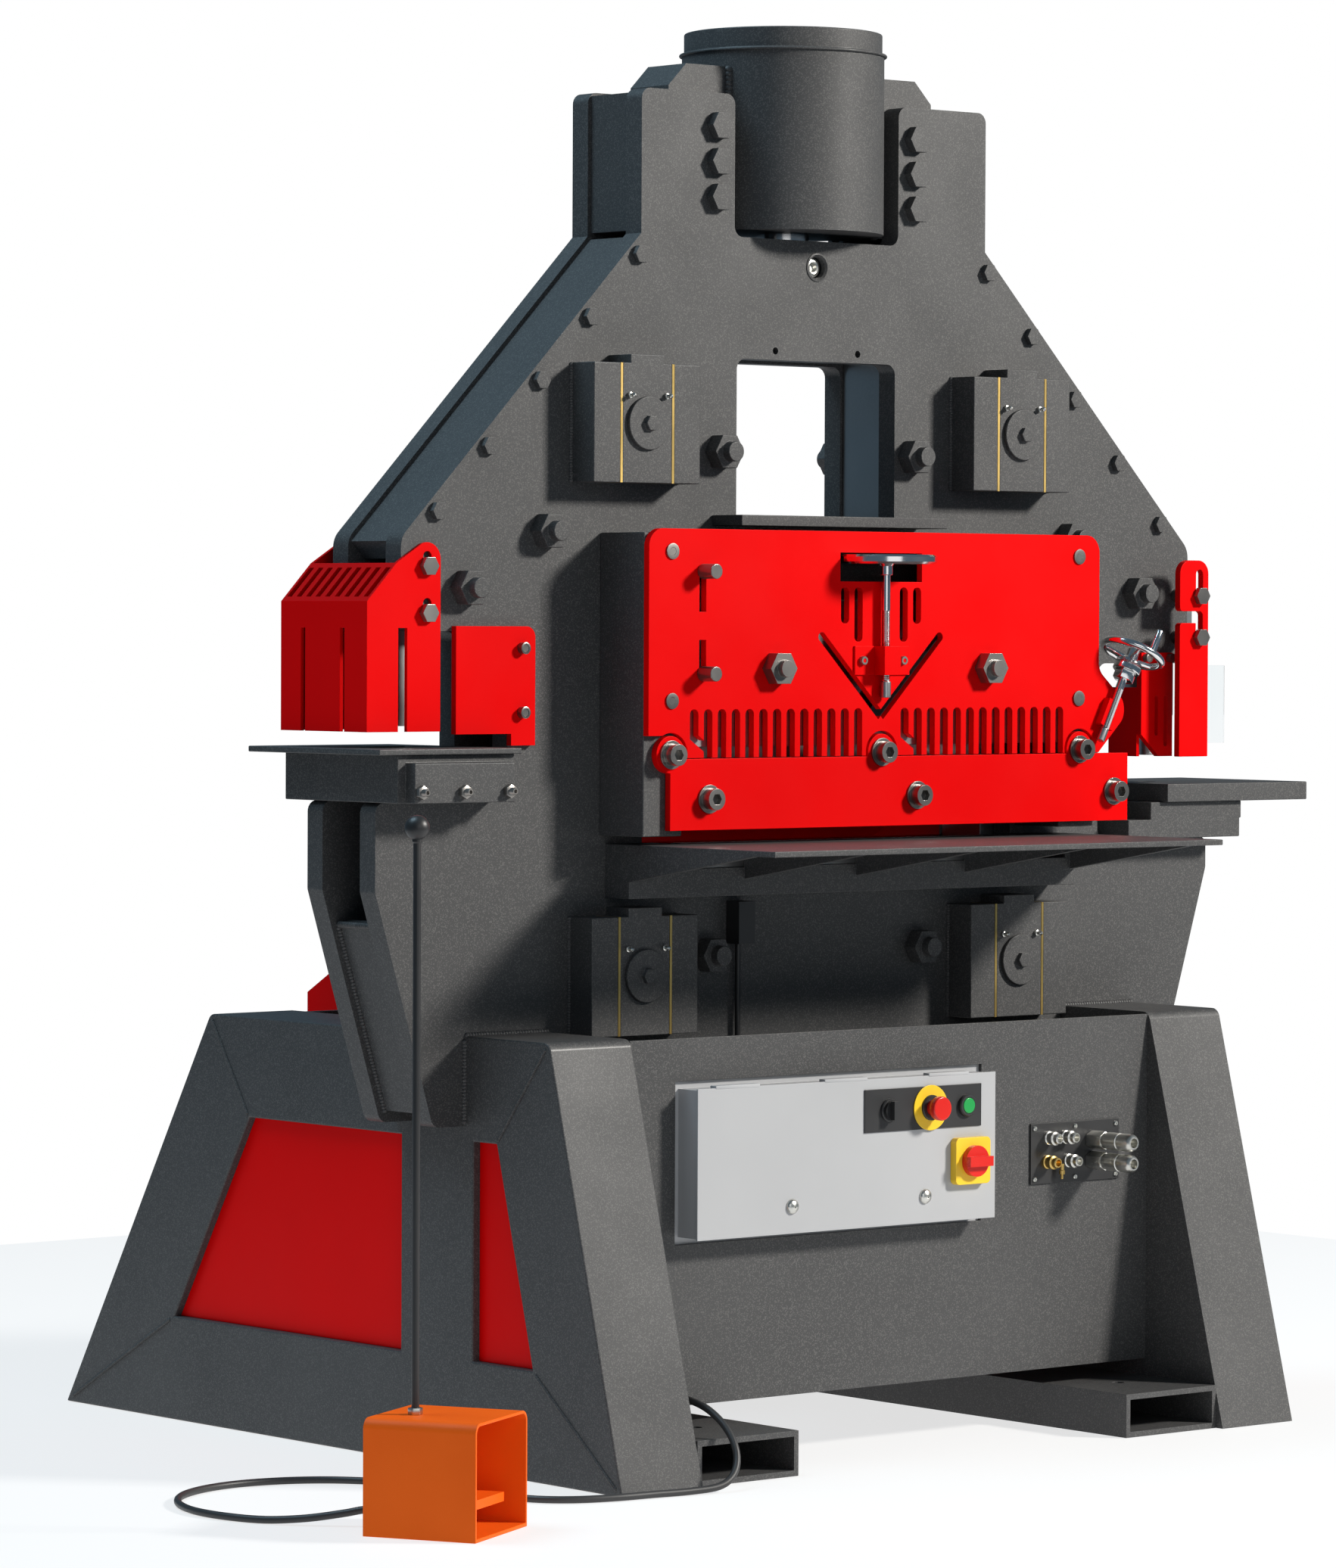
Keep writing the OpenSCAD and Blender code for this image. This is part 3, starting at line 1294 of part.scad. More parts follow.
tank_wall = 6;
breather_x = 330;
motor_r = 110;
motor_x0 = -250;
motor_x1 = 80;
pump_r = 55;
pump_x1 = 220;
motor_foot_h = 40;
motor_foot_half_w = 80;
module power_unit() {
    motor_z = tank_top + motor_r + over;
    motor_y = (tank_y0 + tank_y1) / 2;
    color(dark_steel) on_frame() {
        difference() {
            box([-tank_half_w, tank_y0, fork_h], [tank_half_w, tank_y1, tank_top]);
            box([tank_wall - tank_half_w, tank_y0 + tank_wall, fork_h + tank_wall],
                [tank_half_w - tank_wall, tank_y1 - tank_wall, tank_top - tank_wall]);
            rod_z(breather_x, (tank_y0 + tank_y1) / 2, tank_top - 2 * tank_wall, tank_top + over, vent_r);
        }
        box([motor_x0, motor_y - motor_foot_half_w, tank_top],
            [motor_x1, motor_y + motor_foot_half_w, tank_top + motor_foot_h]);
        rod_x(motor_x0, motor_x1, motor_y, motor_z, motor_r);
        rod_x(motor_x1, pump_x1, motor_y, motor_z, pump_r);
    }
}
chute_out = 29;
chute_half_w = opening_half_w + chute_out;
chute_end = 738;
chute_z0 = 840;
chute_z1 = 512;
chute_h = 95;
chute_t = 4;
hood_l = 260;
hood_rise = 3;
module drop_chute() {
    x0 = shear_x - chute_half_w;
    fall = (chute_z0 - chute_z1) / (chute_end - frame_d);
    hood_z = chute_z0 + chute_h + hood_rise;
    hood_end = [frame_d + hood_l, hood_z - hood_l * fall];
    color(guard_red) on_frame() {
        sideways([[frame_d, chute_z0], [chute_end, chute_z1], [chute_end, chute_z1 + chute_t],
            [frame_d, chute_z0 + chute_t]], x0, 2 * chute_half_w);
        for (x = [x0, x0 + 2 * chute_half_w - chute_t]) sideways([[frame_d, chute_z0],
            [chute_end, chute_z1],
            [chute_end, chute_z1 + chute_h], [frame_d, chute_z0 + chute_h]], x, chute_t);
        sideways([[frame_d, hood_z - chute_t], hood_end - [0, chute_t], hood_end, [frame_d, hood_z]],
            x0 + chute_t / 2, 2 * chute_half_w - chute_t);
    }
}

// Electrical box, its switches and the port plate
switch_z = 478;
estop_x = 25;
start_x = 94;
selector_x = -52;
disconnect_x = 99;
disconnect_z = 400;
plate_x0 = -98;
plate_x1 = 123;
plate_half_h = 30;
thin_t = 2;
ring_r = 32;
estop_stem_r = 11;
estop_head_r = 17;
estop_stem_l = 16;
estop_head_l = 12;
start_r = 11;
start_l = 8;
button_gap = 0.5;
button_back = 1;
selector_r = 13;
selector_l = 16;
selector_grip = 5;
disconnect_half_w = 33;
disconnect_t = 12;
disconnect_r = 22;
disconnect_l = 18;
disconnect_grip = 7;
port_x0 = 255;
port_x1 = 430;
port_z0 = 354;
port_z1 = 441;
port_t = 3;
connector_shares = [[0.194, 0.75], [0.383, 0.75], [0.177, 0.356], [0.417, 0.356]];
connector_places = [for (s = connector_shares)
    [port_x0 + s.x * (port_x1 - port_x0), port_z0 + s.y * (port_z1 - port_z0)]];
connector_r = 10;
connector_l = 25;
coupler_x = 375;
coupler_z = 383;
coupler_pitch = 30;
coupler_zs = [coupler_z, coupler_z + coupler_pitch];
coupler_r = 13;
coupler_l = 88;
coupler_hex = 22;
coupler_hex_l = 30;
module electrical_box() {
    color(box_grey) on_frame() difference() {
        union() {
            box([box_x0, box_front, box_z0], [box_x1, box_front + box_deep, box_z1]);
            box([box_x0 - lid_lip, box_front, box_z0 - lid_lip],
                [box_x1 + lid_lip, box_front + box_wall, box_z1 + lid_lip]);
            box([box_x0 - box_flange, panel_y + panel_t, box_z0 - box_flange],
                [box_x1 + box_flange, panel_y + panel_t + box_wall, box_z1 + box_flange]);
        }
        box([box_x0 + box_wall, box_front + box_wall, box_z0 + box_wall],
            [box_x1 - box_wall, box_front + box_deep + over, box_z1 - box_wall]);
        for (x = [estop_x, start_x]) rod_y(x, box_front - over, box_front + box_wall + over, switch_z,
            start_r + 2 * button_gap);
    }
}
module control_plates() {
    color(black) on_frame() {
        difference() {
            box([plate_x0, box_front - thin_t, switch_z - plate_half_h],
                [plate_x1, box_front, switch_z + plate_half_h]);
            for (x = [estop_x, start_x]) rod_y(x, box_front - 2 * thin_t, box_front + over, switch_z,
                start_r + button_gap);
        }
        box([port_x0, panel_y - port_t, port_z0], [port_x1, panel_y, port_z1]);
    }
}
module disconnect_base() {
    color(yellow) on_frame() {
        difference() {
            rod_y(estop_x, box_front - 2 * thin_t, box_front - thin_t, switch_z, ring_r);
            rod_y(estop_x, box_front - 2 * thin_t - over, box_front, switch_z, estop_stem_r + button_gap);
        }
        upright(rect(disconnect_x - disconnect_half_w, disconnect_z - disconnect_half_w,
            disconnect_x + disconnect_half_w,
            disconnect_z + disconnect_half_w, disconnect_grip), box_front - disconnect_t, disconnect_t);
    }
}
module estop_button() {
    y0 = box_front - button_back - estop_stem_l;
    color("red") on_frame() {
        rod_y(estop_x, y0, box_front - button_back, switch_z, estop_stem_r);
        rod_y(estop_x, y0 - estop_head_l, y0, switch_z, estop_head_r);
    }
}
module start_button() {
    color("green") on_frame() rod_y(start_x, box_front - button_back - start_l, box_front - button_back,
        switch_z, start_r);
}
module selector_knob() {
    y1 = box_front - thin_t - seat_gap;
    color(black) on_frame() {
        rod_y(selector_x, y1 - selector_l / 2, y1, switch_z, selector_r);
        box([selector_x - selector_grip, y1 - selector_l, switch_z - selector_r],
            [selector_x + selector_grip, y1 - selector_l / 2, switch_z + selector_r]);
    }
}
module disconnect_handle() {
    y1 = box_front - disconnect_t - seat_gap;
    color("red") on_frame() {
        rod_y(disconnect_x, y1 - disconnect_l / 2, y1, disconnect_z, disconnect_r);
        box([disconnect_x - disconnect_r, y1 - disconnect_l, disconnect_z - disconnect_grip],
            [disconnect_x + disconnect_r, y1 - disconnect_l / 2, disconnect_z + disconnect_grip]);
    }
}
module hydraulic_ports() {
    y1 = panel_y - port_t;
    color(steel) on_frame() {
        for (p = connector_places) rod_y(p.x, y1 - connector_l, y1, p.y, connector_r);
        for (z = coupler_zs) {
            rod_y(coupler_x, y1 - coupler_l, y1, z, coupler_r);
            hex_y(coupler_x, y1 - coupler_hex_l, y1, z, coupler_hex + coupler_r / 2);
        }
    }
}
limit_x = -150;
limit_half_w = 15;
limit_t = 28;
limit_z0 = 705;
limit_z1 = 765;
limit_cable_r = 4;
limit_cable_end = 560;
module limit_switch() {
    color(black) on_frame() {
        box([limit_x - limit_half_w, -limit_t, limit_z0], [limit_x + limit_half_w, 0, limit_z1]);
        rod_z(limit_x, -2 * limit_cable_r, limit_cable_end, limit_z0, limit_cable_r);
    }
}

// Foot switch: a bent guard with a sprung treadle, a pole and a cable
pedal_x = -998;
pedal_y = -428;
pedal_sheet = 4;
pedal_r = 14;
pedal_base_t = 5;
treadle_half_w = 60;
treadle_t = 12;
treadle_z = 40;
treadle_back = 50;
treadle_front = 55;
treadle_pin_r = 6;
pole_x = -23;
pole_y = 32;
pole_r = 5;
pole_knob_r = 16;
pole_nut_r = 10;
pole_nut_h = 10;
gland_z = 22;
gland_l = 18;
gland_r = 9;
panel_gland_l = 12;
module at_pedal() { on_frame() translate([pedal_x, pedal_y, 0]) rotate([0, 0, pedal_turn]) children(); }
module pedal_guard() {
    half_l = pedal_l / 2;
    half_w = pedal_w / 2;
    color(orange) at_pedal() difference() {
        upright([[-half_l, 0, 0], [half_l, 0, 0], [half_l, pedal_h, pedal_r],
            [-half_l, pedal_h, pedal_r]], -half_w, pedal_w);
        upright([[pedal_sheet - half_l, pedal_base_t, 0], [half_l - pedal_sheet, pedal_base_t, 0],
            [half_l - pedal_sheet, pedal_h - pedal_sheet, pedal_r - pedal_sheet],
            [pedal_sheet - half_l, pedal_h - pedal_sheet, pedal_r - pedal_sheet]], -half_w - over,
                pedal_w + over - pedal_sheet);
    }
}
module pedal_treadle() {
    color(orange) at_pedal() {
        box([-treadle_half_w, -treadle_front, treadle_z - treadle_t / 2],
            [treadle_half_w, treadle_back, treadle_z + treadle_t / 2]);
        rod_x(seat_gap + pedal_sheet - pedal_l / 2, pedal_l / 2 - pedal_sheet - seat_gap, treadle_back,
            treadle_z, treadle_pin_r);
    }
}
module pedal_pole() {
    color(black) at_pedal() {
        rod_z(pole_x, pole_y, pedal_h, pole_top, pole_r);
        rod_z(pole_x, pole_y, pedal_h, pedal_h + pole_nut_h, pole_nut_r);
        translate([pole_x, pole_y, pole_top]) sphere(r = pole_knob_r);
    }
}
module cable_glands() {
    color(black) {
        at_pedal() rod_y(0, pedal_w / 2, pedal_w / 2 + gland_l, gland_z, gland_r);
        on_frame() rod_y(cable_exit_x, panel_y - panel_gland_l, panel_y, cable_exit_z, gland_r);
    }
}
// Route of the foot switch's cable from the front panel to the pedal, on the frame's axes
cable_route = [[-455, -192, 112], [-455, -225, 112], [-454, -262, 109], [-451, -298, 100], [-449, -330, 82],
    [-451, -354, 60], [-458, -369, 38], [-474, -378, 19], [-500, -380, 8], [-545, -374, 5], [-600, -366, 5],
    [-660, -358, 5], [-715, -338, 5], [-752, -300, 5], [-768, -240, 5], [-777, -170, 5], [-790, -100, 5],
    [-815, -40, 5], [-855, 10, 5], [-910, 42, 5], [-975, 54, 5], [-1040, 42, 5], [-1098, 8, 5],
    [-1140, -45, 5], [-1162, -110, 5], [-1160, -175, 5], [-1138, -232, 5], [-1106, -276, 9],
        [-1073, -310, 16],
    [-1053, -328, 21]];
cable_sides = 8;
cable_substeps = 2;
cable_end = [pedal_x, pedal_y, 0] + [-sin(pedal_turn), cos(pedal_turn),
    0] * (pedal_w / 2 + gland_l) + [0, 0, gland_z];
function spline(a, b, c, d, u) = (2 * b + (c - a) * u + (2 * a - 5 * b + 4 * c - d)
    * u * u + (3 * b - a - 3 * c + d) * u * u * u) / 2;
cable_pts = concat(cable_route, [cable_end]);
cable_last = len(cable_pts) - 1;
cable_path = concat([for (i = [0 : cable_last - 1], s = [0 : cable_substeps - 1])
    spline(cable_pts[max(i - 1, 0)], cable_pts[i], cable_pts[i + 1], cable_pts[min(i + 2, cable_last)],
        s / cable_substeps)],
    [cable_pts[cable_last]]);
function along(i) = i == 0 ? [0, -1, 0] : i == len(cable_path) - 1 ? [sin(pedal_turn), -cos(pedal_turn), 0]
    : unit(cable_path[i + 1] - cable_path[i - 1]);
function ring(i) = let (t = along(i), side = unit(cross(t, [0, 0, 1])), up = cross(side, t))
    [for (j = [0 : cable_sides - 1]) cable_path[i] + cable_d / 2 * (side * cos(360 * j / cable_sides)
        + up * sin(360 * j / cable_sides))];
module foot_cable() {
    n = len(cable_path);
    points = [for (i = [0 : n - 1]) each ring(i)];
    walls = [for (i = [0 : n - 2], j = [0 : cable_sides - 1]) let (a = i * cable_sides + j,
        b = i * cable_sides + (j + 1) % cable_sides)
        each [[a, b, b + cable_sides], [a, b + cable_sides, a + cable_sides]]];
    caps = concat([for (j = [1 : cable_sides - 2]) [0, j + 1, j]],
        [for (j = [1 : cable_sides - 2]) [for (k = [0, j, j + 1]) (n - 1) * cable_sides + k]]);
    color(black) on_frame() polyhedron(points = points, faces = concat(walls, caps));
}

front_frame_plate();
rear_frame_plate();
frame_spacers();
frame_bolts();
tie_rods();
cylinder_barrel();
cylinder_cap();
piston_rod();
ram_beam();
beam_pins();
upper_blades();
lower_blades();
notch_punch();
hole_punch();
die_blocks();
side_tables();
guide_gibs();
bronze_strips();
guide_slides();
shear_housing();
hold_down_bar();
angle_guard();
flat_guard();
guard_fasteners();
angle_hold_screw();
angle_hold_pad();
bar_hold_screw();
bar_hold_pad();
hold_down_brackets();
upper_stop_pin();
lower_stop_pin();
notch_guard();
punch_guard();
side_guards();
side_guard_bolts();
clear_shield();
shear_table();
tool_table();
left_base_frame();
right_base_frame();
base_panels();
front_panel();
rear_panel();
fork_tubes();
power_unit();
drop_chute();
electrical_box();
control_plates();
estop_button();
start_button();
selector_knob();
disconnect_base();
disconnect_handle();
hydraulic_ports();
limit_switch();
pedal_guard();
pedal_treadle();
pedal_pole();
cable_glands();
foot_cable();
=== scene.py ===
# %% [markdown]
# # Dressing an ironworker
# An ironworker is a heavy press with several stations on one hydraulic beam. The CAD model gives every
# plate, guard and switch its place. This lesson loads it as a fixed frame, rounds the edges that catch the
# light, adds welds, nuts, knobs and fittings, and gives each surface its finish.

# %% Load the frame
import json
import math

import bmesh
import bpy
from mathutils import Matrix, Quaternion, Vector


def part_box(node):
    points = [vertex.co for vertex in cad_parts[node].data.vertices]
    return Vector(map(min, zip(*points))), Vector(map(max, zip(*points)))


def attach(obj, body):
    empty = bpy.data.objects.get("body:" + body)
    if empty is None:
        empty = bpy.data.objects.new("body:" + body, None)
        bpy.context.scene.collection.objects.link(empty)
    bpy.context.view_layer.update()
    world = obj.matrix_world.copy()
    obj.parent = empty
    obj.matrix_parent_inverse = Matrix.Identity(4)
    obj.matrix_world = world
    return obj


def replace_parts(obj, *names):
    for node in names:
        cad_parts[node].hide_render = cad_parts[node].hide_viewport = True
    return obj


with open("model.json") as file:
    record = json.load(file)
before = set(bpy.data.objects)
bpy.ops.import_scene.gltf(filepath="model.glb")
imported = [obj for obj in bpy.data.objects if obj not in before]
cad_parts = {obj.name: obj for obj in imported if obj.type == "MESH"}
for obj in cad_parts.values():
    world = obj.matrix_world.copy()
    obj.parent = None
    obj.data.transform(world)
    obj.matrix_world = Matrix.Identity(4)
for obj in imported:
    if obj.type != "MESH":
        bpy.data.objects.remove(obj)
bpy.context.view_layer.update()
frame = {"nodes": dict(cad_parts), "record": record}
nodes = frame["nodes"]
MM = 0.001
PLATE_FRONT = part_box("front_frame_plate")[0].y

# %% [markdown]
# ## The camera
# The picture was taken from the front left, at about half the machine's height, with a long lens. The
# position comes from straight edges of the frame, and the small shift keeps the picture's own crop.

# %% Place the camera
CAMERA_PLACE = Vector((-5.79527, -6.87143, 1.15864))
CAMERA_AIM = Vector((-0.26235, -0.306, 0.94213))
CAMERA_ROLL = math.radians(0.25)
CAMERA_SHIFT = (-0.00385, -0.0050)
FARTHEST = 100
IMAGE_HEIGHT_PX = 2072
FOCAL_PX = 8113.27
SENSOR = 36.0
camera_data = bpy.data.cameras.new("camera")
camera_data.sensor_width = SENSOR
camera_data.lens = FOCAL_PX * SENSOR / IMAGE_HEIGHT_PX
camera_data.shift_x, camera_data.shift_y = CAMERA_SHIFT
camera_data.clip_end = FARTHEST
camera = bpy.data.objects.new("camera", camera_data)
camera.location = CAMERA_PLACE
camera.rotation_mode = "QUATERNION"
aim = (CAMERA_AIM - CAMERA_PLACE).to_track_quat("-Z", "Y")
camera.rotation_quaternion = aim @ Quaternion((0, 0, 1), CAMERA_ROLL)
bpy.context.scene.collection.objects.link(camera)
bpy.context.scene.camera = camera
print("lens", round(camera_data.lens, 2))

# %% [markdown]
# ## The finishes
# Almost everything here is paint or metal, so the same few effects come back: a fine grain, small bright
# flecks, a slow drift in tone, and fine lines from grinding. Each effect is a node group with its own
# scale, and each finish mixes them in its own way. Values that never change stay on the shader itself.


# %% Build the shared effects
def new_group(name, inputs, outputs):
    group = bpy.data.node_groups.new(name, "ShaderNodeTree")
    for label, value in inputs:
        socket = group.interface.new_socket(label, in_out="INPUT", socket_type="NodeSocketFloat")
        socket.default_value = value
    for label in outputs:
        group.interface.new_socket(label, in_out="OUTPUT", socket_type="NodeSocketFloat")
    start = group.nodes.new("NodeGroupInput")
    end = group.nodes.new("NodeGroupOutput")
    place = group.nodes.new("ShaderNodeTexCoord").outputs["Object"]
    return group, start, end, place


def grain_group():
    group, start, end, place = new_group("grain", [("Scale", 800.0)], ["Height"])
    noise = group.nodes.new("ShaderNodeTexNoise")
    noise.inputs["Detail"].default_value = 3.0
    noise.inputs["Roughness"].default_value = 0.6
    group.links.new(place, noise.inputs["Vector"])
    group.links.new(start.outputs["Scale"], noise.inputs["Scale"])
    group.links.new(noise.outputs["Fac"], end.inputs["Height"])
    return group


def fleck_group():
    group, start, end, place = new_group("fleck", [("Scale", 900.0), ("Share", 0.2)], ["Mask"])
    cells = group.nodes.new("ShaderNodeTexVoronoi")
    group.links.new(place, cells.inputs["Vector"])
    group.links.new(start.outputs["Scale"], cells.inputs["Scale"])
    split = group.nodes.new("ShaderNodeSeparateColor")
    group.links.new(cells.outputs["Color"], split.inputs["Color"])
    test = group.nodes.new("ShaderNodeMath")
    test.operation = "LESS_THAN"
    group.links.new(split.outputs["Red"], test.inputs[0])
    group.links.new(start.outputs["Share"], test.inputs[1])
    group.links.new(test.outputs[0], end.inputs["Mask"])
    return group


def drift_group():
    group, start, end, place = new_group("drift", [("Scale", 3.0), ("Low", 0.3), ("High", 0.7)], ["Value"])
    noise = group.nodes.new("ShaderNodeTexNoise")
    noise.inputs["Detail"].default_value = 4.0
    group.links.new(place, noise.inputs["Vector"])
    group.links.new(start.outputs["Scale"], noise.inputs["Scale"])
    ramp = group.nodes.new("ShaderNodeMapRange")
    group.links.new(noise.outputs["Fac"], ramp.inputs["Value"])
    group.links.new(start.outputs["Low"], ramp.inputs["To Min"])
    group.links.new(start.outputs["High"], ramp.inputs["To Max"])
    ramp.inputs["From Min"].default_value = 0.3
    ramp.inputs["From Max"].default_value = 0.7
    group.links.new(ramp.outputs["Result"], end.inputs["Value"])
    return group


def grind_group():
    group, start, end, place = new_group("grinding", [("Scale", 300.0), ("Stretch", 0.03)], ["Lines"])
    join = group.nodes.new("ShaderNodeCombineXYZ")
    join.inputs["Y"].default_value = 1.0
    join.inputs["Z"].default_value = 1.0
    group.links.new(start.outputs["Stretch"], join.inputs["X"])
    stretch = group.nodes.new("ShaderNodeVectorMath")
    stretch.operation = "MULTIPLY"
    group.links.new(place, stretch.inputs[0])
    group.links.new(join.outputs[0], stretch.inputs[1])
    noise = group.nodes.new("ShaderNodeTexNoise")
    group.links.new(stretch.outputs[0], noise.inputs["Vector"])
    group.links.new(start.outputs["Scale"], noise.inputs["Scale"])
    group.links.new(noise.outputs["Fac"], end.inputs["Lines"])
    return group


GRAIN, FLECK, DRIFT, GRIND = grain_group(), fleck_group(), drift_group(), grind_group()
print("effects", [g.name for g in (GRAIN, FLECK, DRIFT, GRIND)])

# %% [markdown]
# A finish starts from a dark and a light tone of one colour. The drift moves between them, the grain lifts
# the surface a little, and flecks or grinding lines are added where the real surface has them.

# %% Build one finish
TONE_DRIFT, ROUGH_DRIFT = 4.0, 9.0
LINE_STRETCH = 0.03
BUMP_LIFT = 0.0004
COAT_ROUGH = 0.27


def finish(name, dark, light, rough, metallic=0.0, grain=0.0, bump=0.0, flecks=None, lines=0.0,
           specular=0.5, coat=0.0):
    material = bpy.data.materials.new(name)
    material.use_nodes = True
    tree = material.node_tree
    shader = tree.nodes["Principled BSDF"]
    shader.inputs["Metallic"].default_value = metallic
    shader.inputs["Specular IOR Level"].default_value = specular
    shader.inputs["Coat Weight"].default_value = coat
    shader.inputs["Coat Roughness"].default_value = COAT_ROUGH

    def effect(group, **values):
        node = tree.nodes.new("ShaderNodeGroup")
        node.node_tree = group
        for label, value in values.items():
            node.inputs[label].default_value = value
        return node.outputs[0]

    def blend(mask, first, second):
        node = tree.nodes.new("ShaderNodeMix")
        node.data_type = "RGBA"
        tree.links.new(mask, node.inputs["Factor"])
        for socket, value in ((node.inputs[6], first), (node.inputs[7], second)):
            if isinstance(value, bpy.types.NodeSocket):
                tree.links.new(value, socket)
            else:
                socket.default_value = (*value, 1)
        return node.outputs[2]

    colour = blend(effect(DRIFT, Scale=TONE_DRIFT, Low=0.0, High=1.0), dark, light)
    if flecks:
        scale, share, tint = flecks
        colour = blend(effect(FLECK, Scale=scale, Share=share), colour, tint)
    if lines:
        colour = blend(effect(GRIND, Scale=lines, Stretch=LINE_STRETCH), colour, light)
    tree.links.new(colour, shader.inputs["Base Color"])
    roughness = effect(DRIFT, Scale=ROUGH_DRIFT, Low=rough[0], High=rough[1])
    tree.links.new(roughness, shader.inputs["Roughness"])
    if bump:
        lift = tree.nodes.new("ShaderNodeBump")
        lift.inputs["Strength"].default_value = bump
        lift.inputs["Distance"].default_value = BUMP_LIFT
        tree.links.new(effect(GRAIN, Scale=grain), lift.inputs["Height"])
        tree.links.new(lift.outputs["Normal"], shader.inputs["Normal"])
    return material


print("finish builder ready")

# %% Name each finish after its slot in the record
FINISHES = {
    "charcoal_paint": dict(
        dark=(0.035, 0.035, 0.036), light=(0.044, 0.044, 0.045), rough=(0.60, 0.68),
        grain=900, bump=0.35, flecks=(760, 0.22, (0.080, 0.079, 0.077)), coat=0.15),
    "guard_red": dict(
        dark=(0.68, 0.0003, 0.0008), light=(0.74, 0.0004, 0.001), rough=(0.36, 0.44),
        grain=260, bump=0.04, specular=0.06),
    "black_oxide_steel": dict(
        dark=(0.045, 0.044, 0.043), light=(0.095, 0.092, 0.088), rough=(0.30, 0.45),
        metallic=0.8, grain=500, bump=0.12),
    "bolt_steel": dict(
        dark=(0.20, 0.19, 0.18), light=(0.34, 0.32, 0.30), rough=(0.26, 0.40),
        metallic=0.9, grain=500, bump=0.10),
    "tool_steel": dict(
        dark=(0.30, 0.30, 0.30), light=(0.46, 0.46, 0.46), rough=(0.28, 0.40),
        metallic=1.0, grain=400, bump=0.06, lines=260),
    "chrome_steel": dict(
        dark=(0.70, 0.70, 0.71), light=(0.80, 0.80, 0.80), rough=(0.10, 0.18),
        metallic=1.0),
    "zinc_steel": dict(
        dark=(0.55, 0.55, 0.52), light=(0.68, 0.67, 0.63), rough=(0.24, 0.36),
        metallic=1.0, grain=600, bump=0.08),
    "guide_bronze": dict(
        dark=(0.50, 0.34, 0.10), light=(0.66, 0.46, 0.16), rough=(0.28, 0.40),
        metallic=1.0, grain=500, bump=0.08, lines=300),
    "enclosure_grey": dict(
        dark=(0.39, 0.395, 0.405), light=(0.42, 0.425, 0.435), rough=(0.42, 0.50),
        grain=900, bump=0.08, specular=0.3),
    "black_plastic": dict(
        dark=(0.014, 0.014, 0.015), light=(0.022, 0.022, 0.023), rough=(0.36, 0.48),
        grain=1500, bump=0.10),
    "stop_red": dict(
        dark=(0.58, 0.012, 0.008), light=(0.66, 0.018, 0.010), rough=(0.20, 0.28),
        grain=900, bump=0.03),
    "start_green": dict(
        dark=(0.015, 0.26, 0.06), light=(0.025, 0.34, 0.08), rough=(0.20, 0.28),
        grain=900, bump=0.03),
    "switch_yellow": dict(
        dark=(0.80, 0.50, 0.02), light=(0.86, 0.56, 0.03), rough=(0.28, 0.36),
        grain=900, bump=0.04),
    "pedal_orange": dict(
        dark=(0.80, 0.110, 0.005), light=(0.88, 0.135, 0.008), rough=(0.44, 0.56),
        grain=650, bump=0.55, specular=0.12),
    "cable_rubber": dict(
        dark=(0.020, 0.020, 0.021), light=(0.032, 0.032, 0.033), rough=(0.42, 0.54),
        grain=1200, bump=0.12),
    "clear_plastic": dict(
        dark=(0.86, 0.91, 0.92), light=(0.92, 0.95, 0.96), rough=(0.04, 0.08)),
}
looks = {name: finish(name, **values) for name, values in FINISHES.items()}
SHIELD_IOR = 1.2
clear = looks["clear_plastic"].node_tree.nodes["Principled BSDF"]
clear.inputs["Transmission Weight"].default_value = 1.0
clear.inputs["IOR"].default_value = SHIELD_IOR
print("finishes", len(looks))

# %% [markdown]
# ## Pieces from bmesh
# Every new piece is a bmesh made by operators. One helper turns it into an object with its finish, puts it
# on the body that carries it and keeps crisp edges crisp.

# %% Helpers for new pieces
MERGE = 1e-6
FRONT = (0, -1, 0)
slot_of = {row["node"]: row["material_slot"] for row in frame["record"]["subparts"]}
body_of = {node: body for body, group in frame["record"]["behaviour"]["bodies"].items() for node in group}


def add_piece(name, bm, slot, body, crisp=35):
    mesh = bpy.data.meshes.new(name)
    bm.to_mesh(mesh)
    bm.free()
    mesh.materials.append(looks[slot])
    mesh.polygons.foreach_set("use_smooth", [True] * len(mesh.polygons))
    mesh.set_sharp_from_angle(angle=math.radians(crisp))
    piece = bpy.data.objects.new(name, mesh)
    bpy.context.scene.collection.objects.link(piece)
    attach(piece, body)
    return piece


def spot(x, y, z):
    """A place in millimetres, with Y counted from the front face of the front plate."""
    return Vector((x * MM, PLATE_FRONT + y * MM, z * MM))


def turn_to(axis, centre):
    """The matrix that stands +Z along an axis at a place."""
    return Matrix.Translation(centre) @ Vector(axis).to_track_quat("Z", "Y").to_matrix().to_4x4()


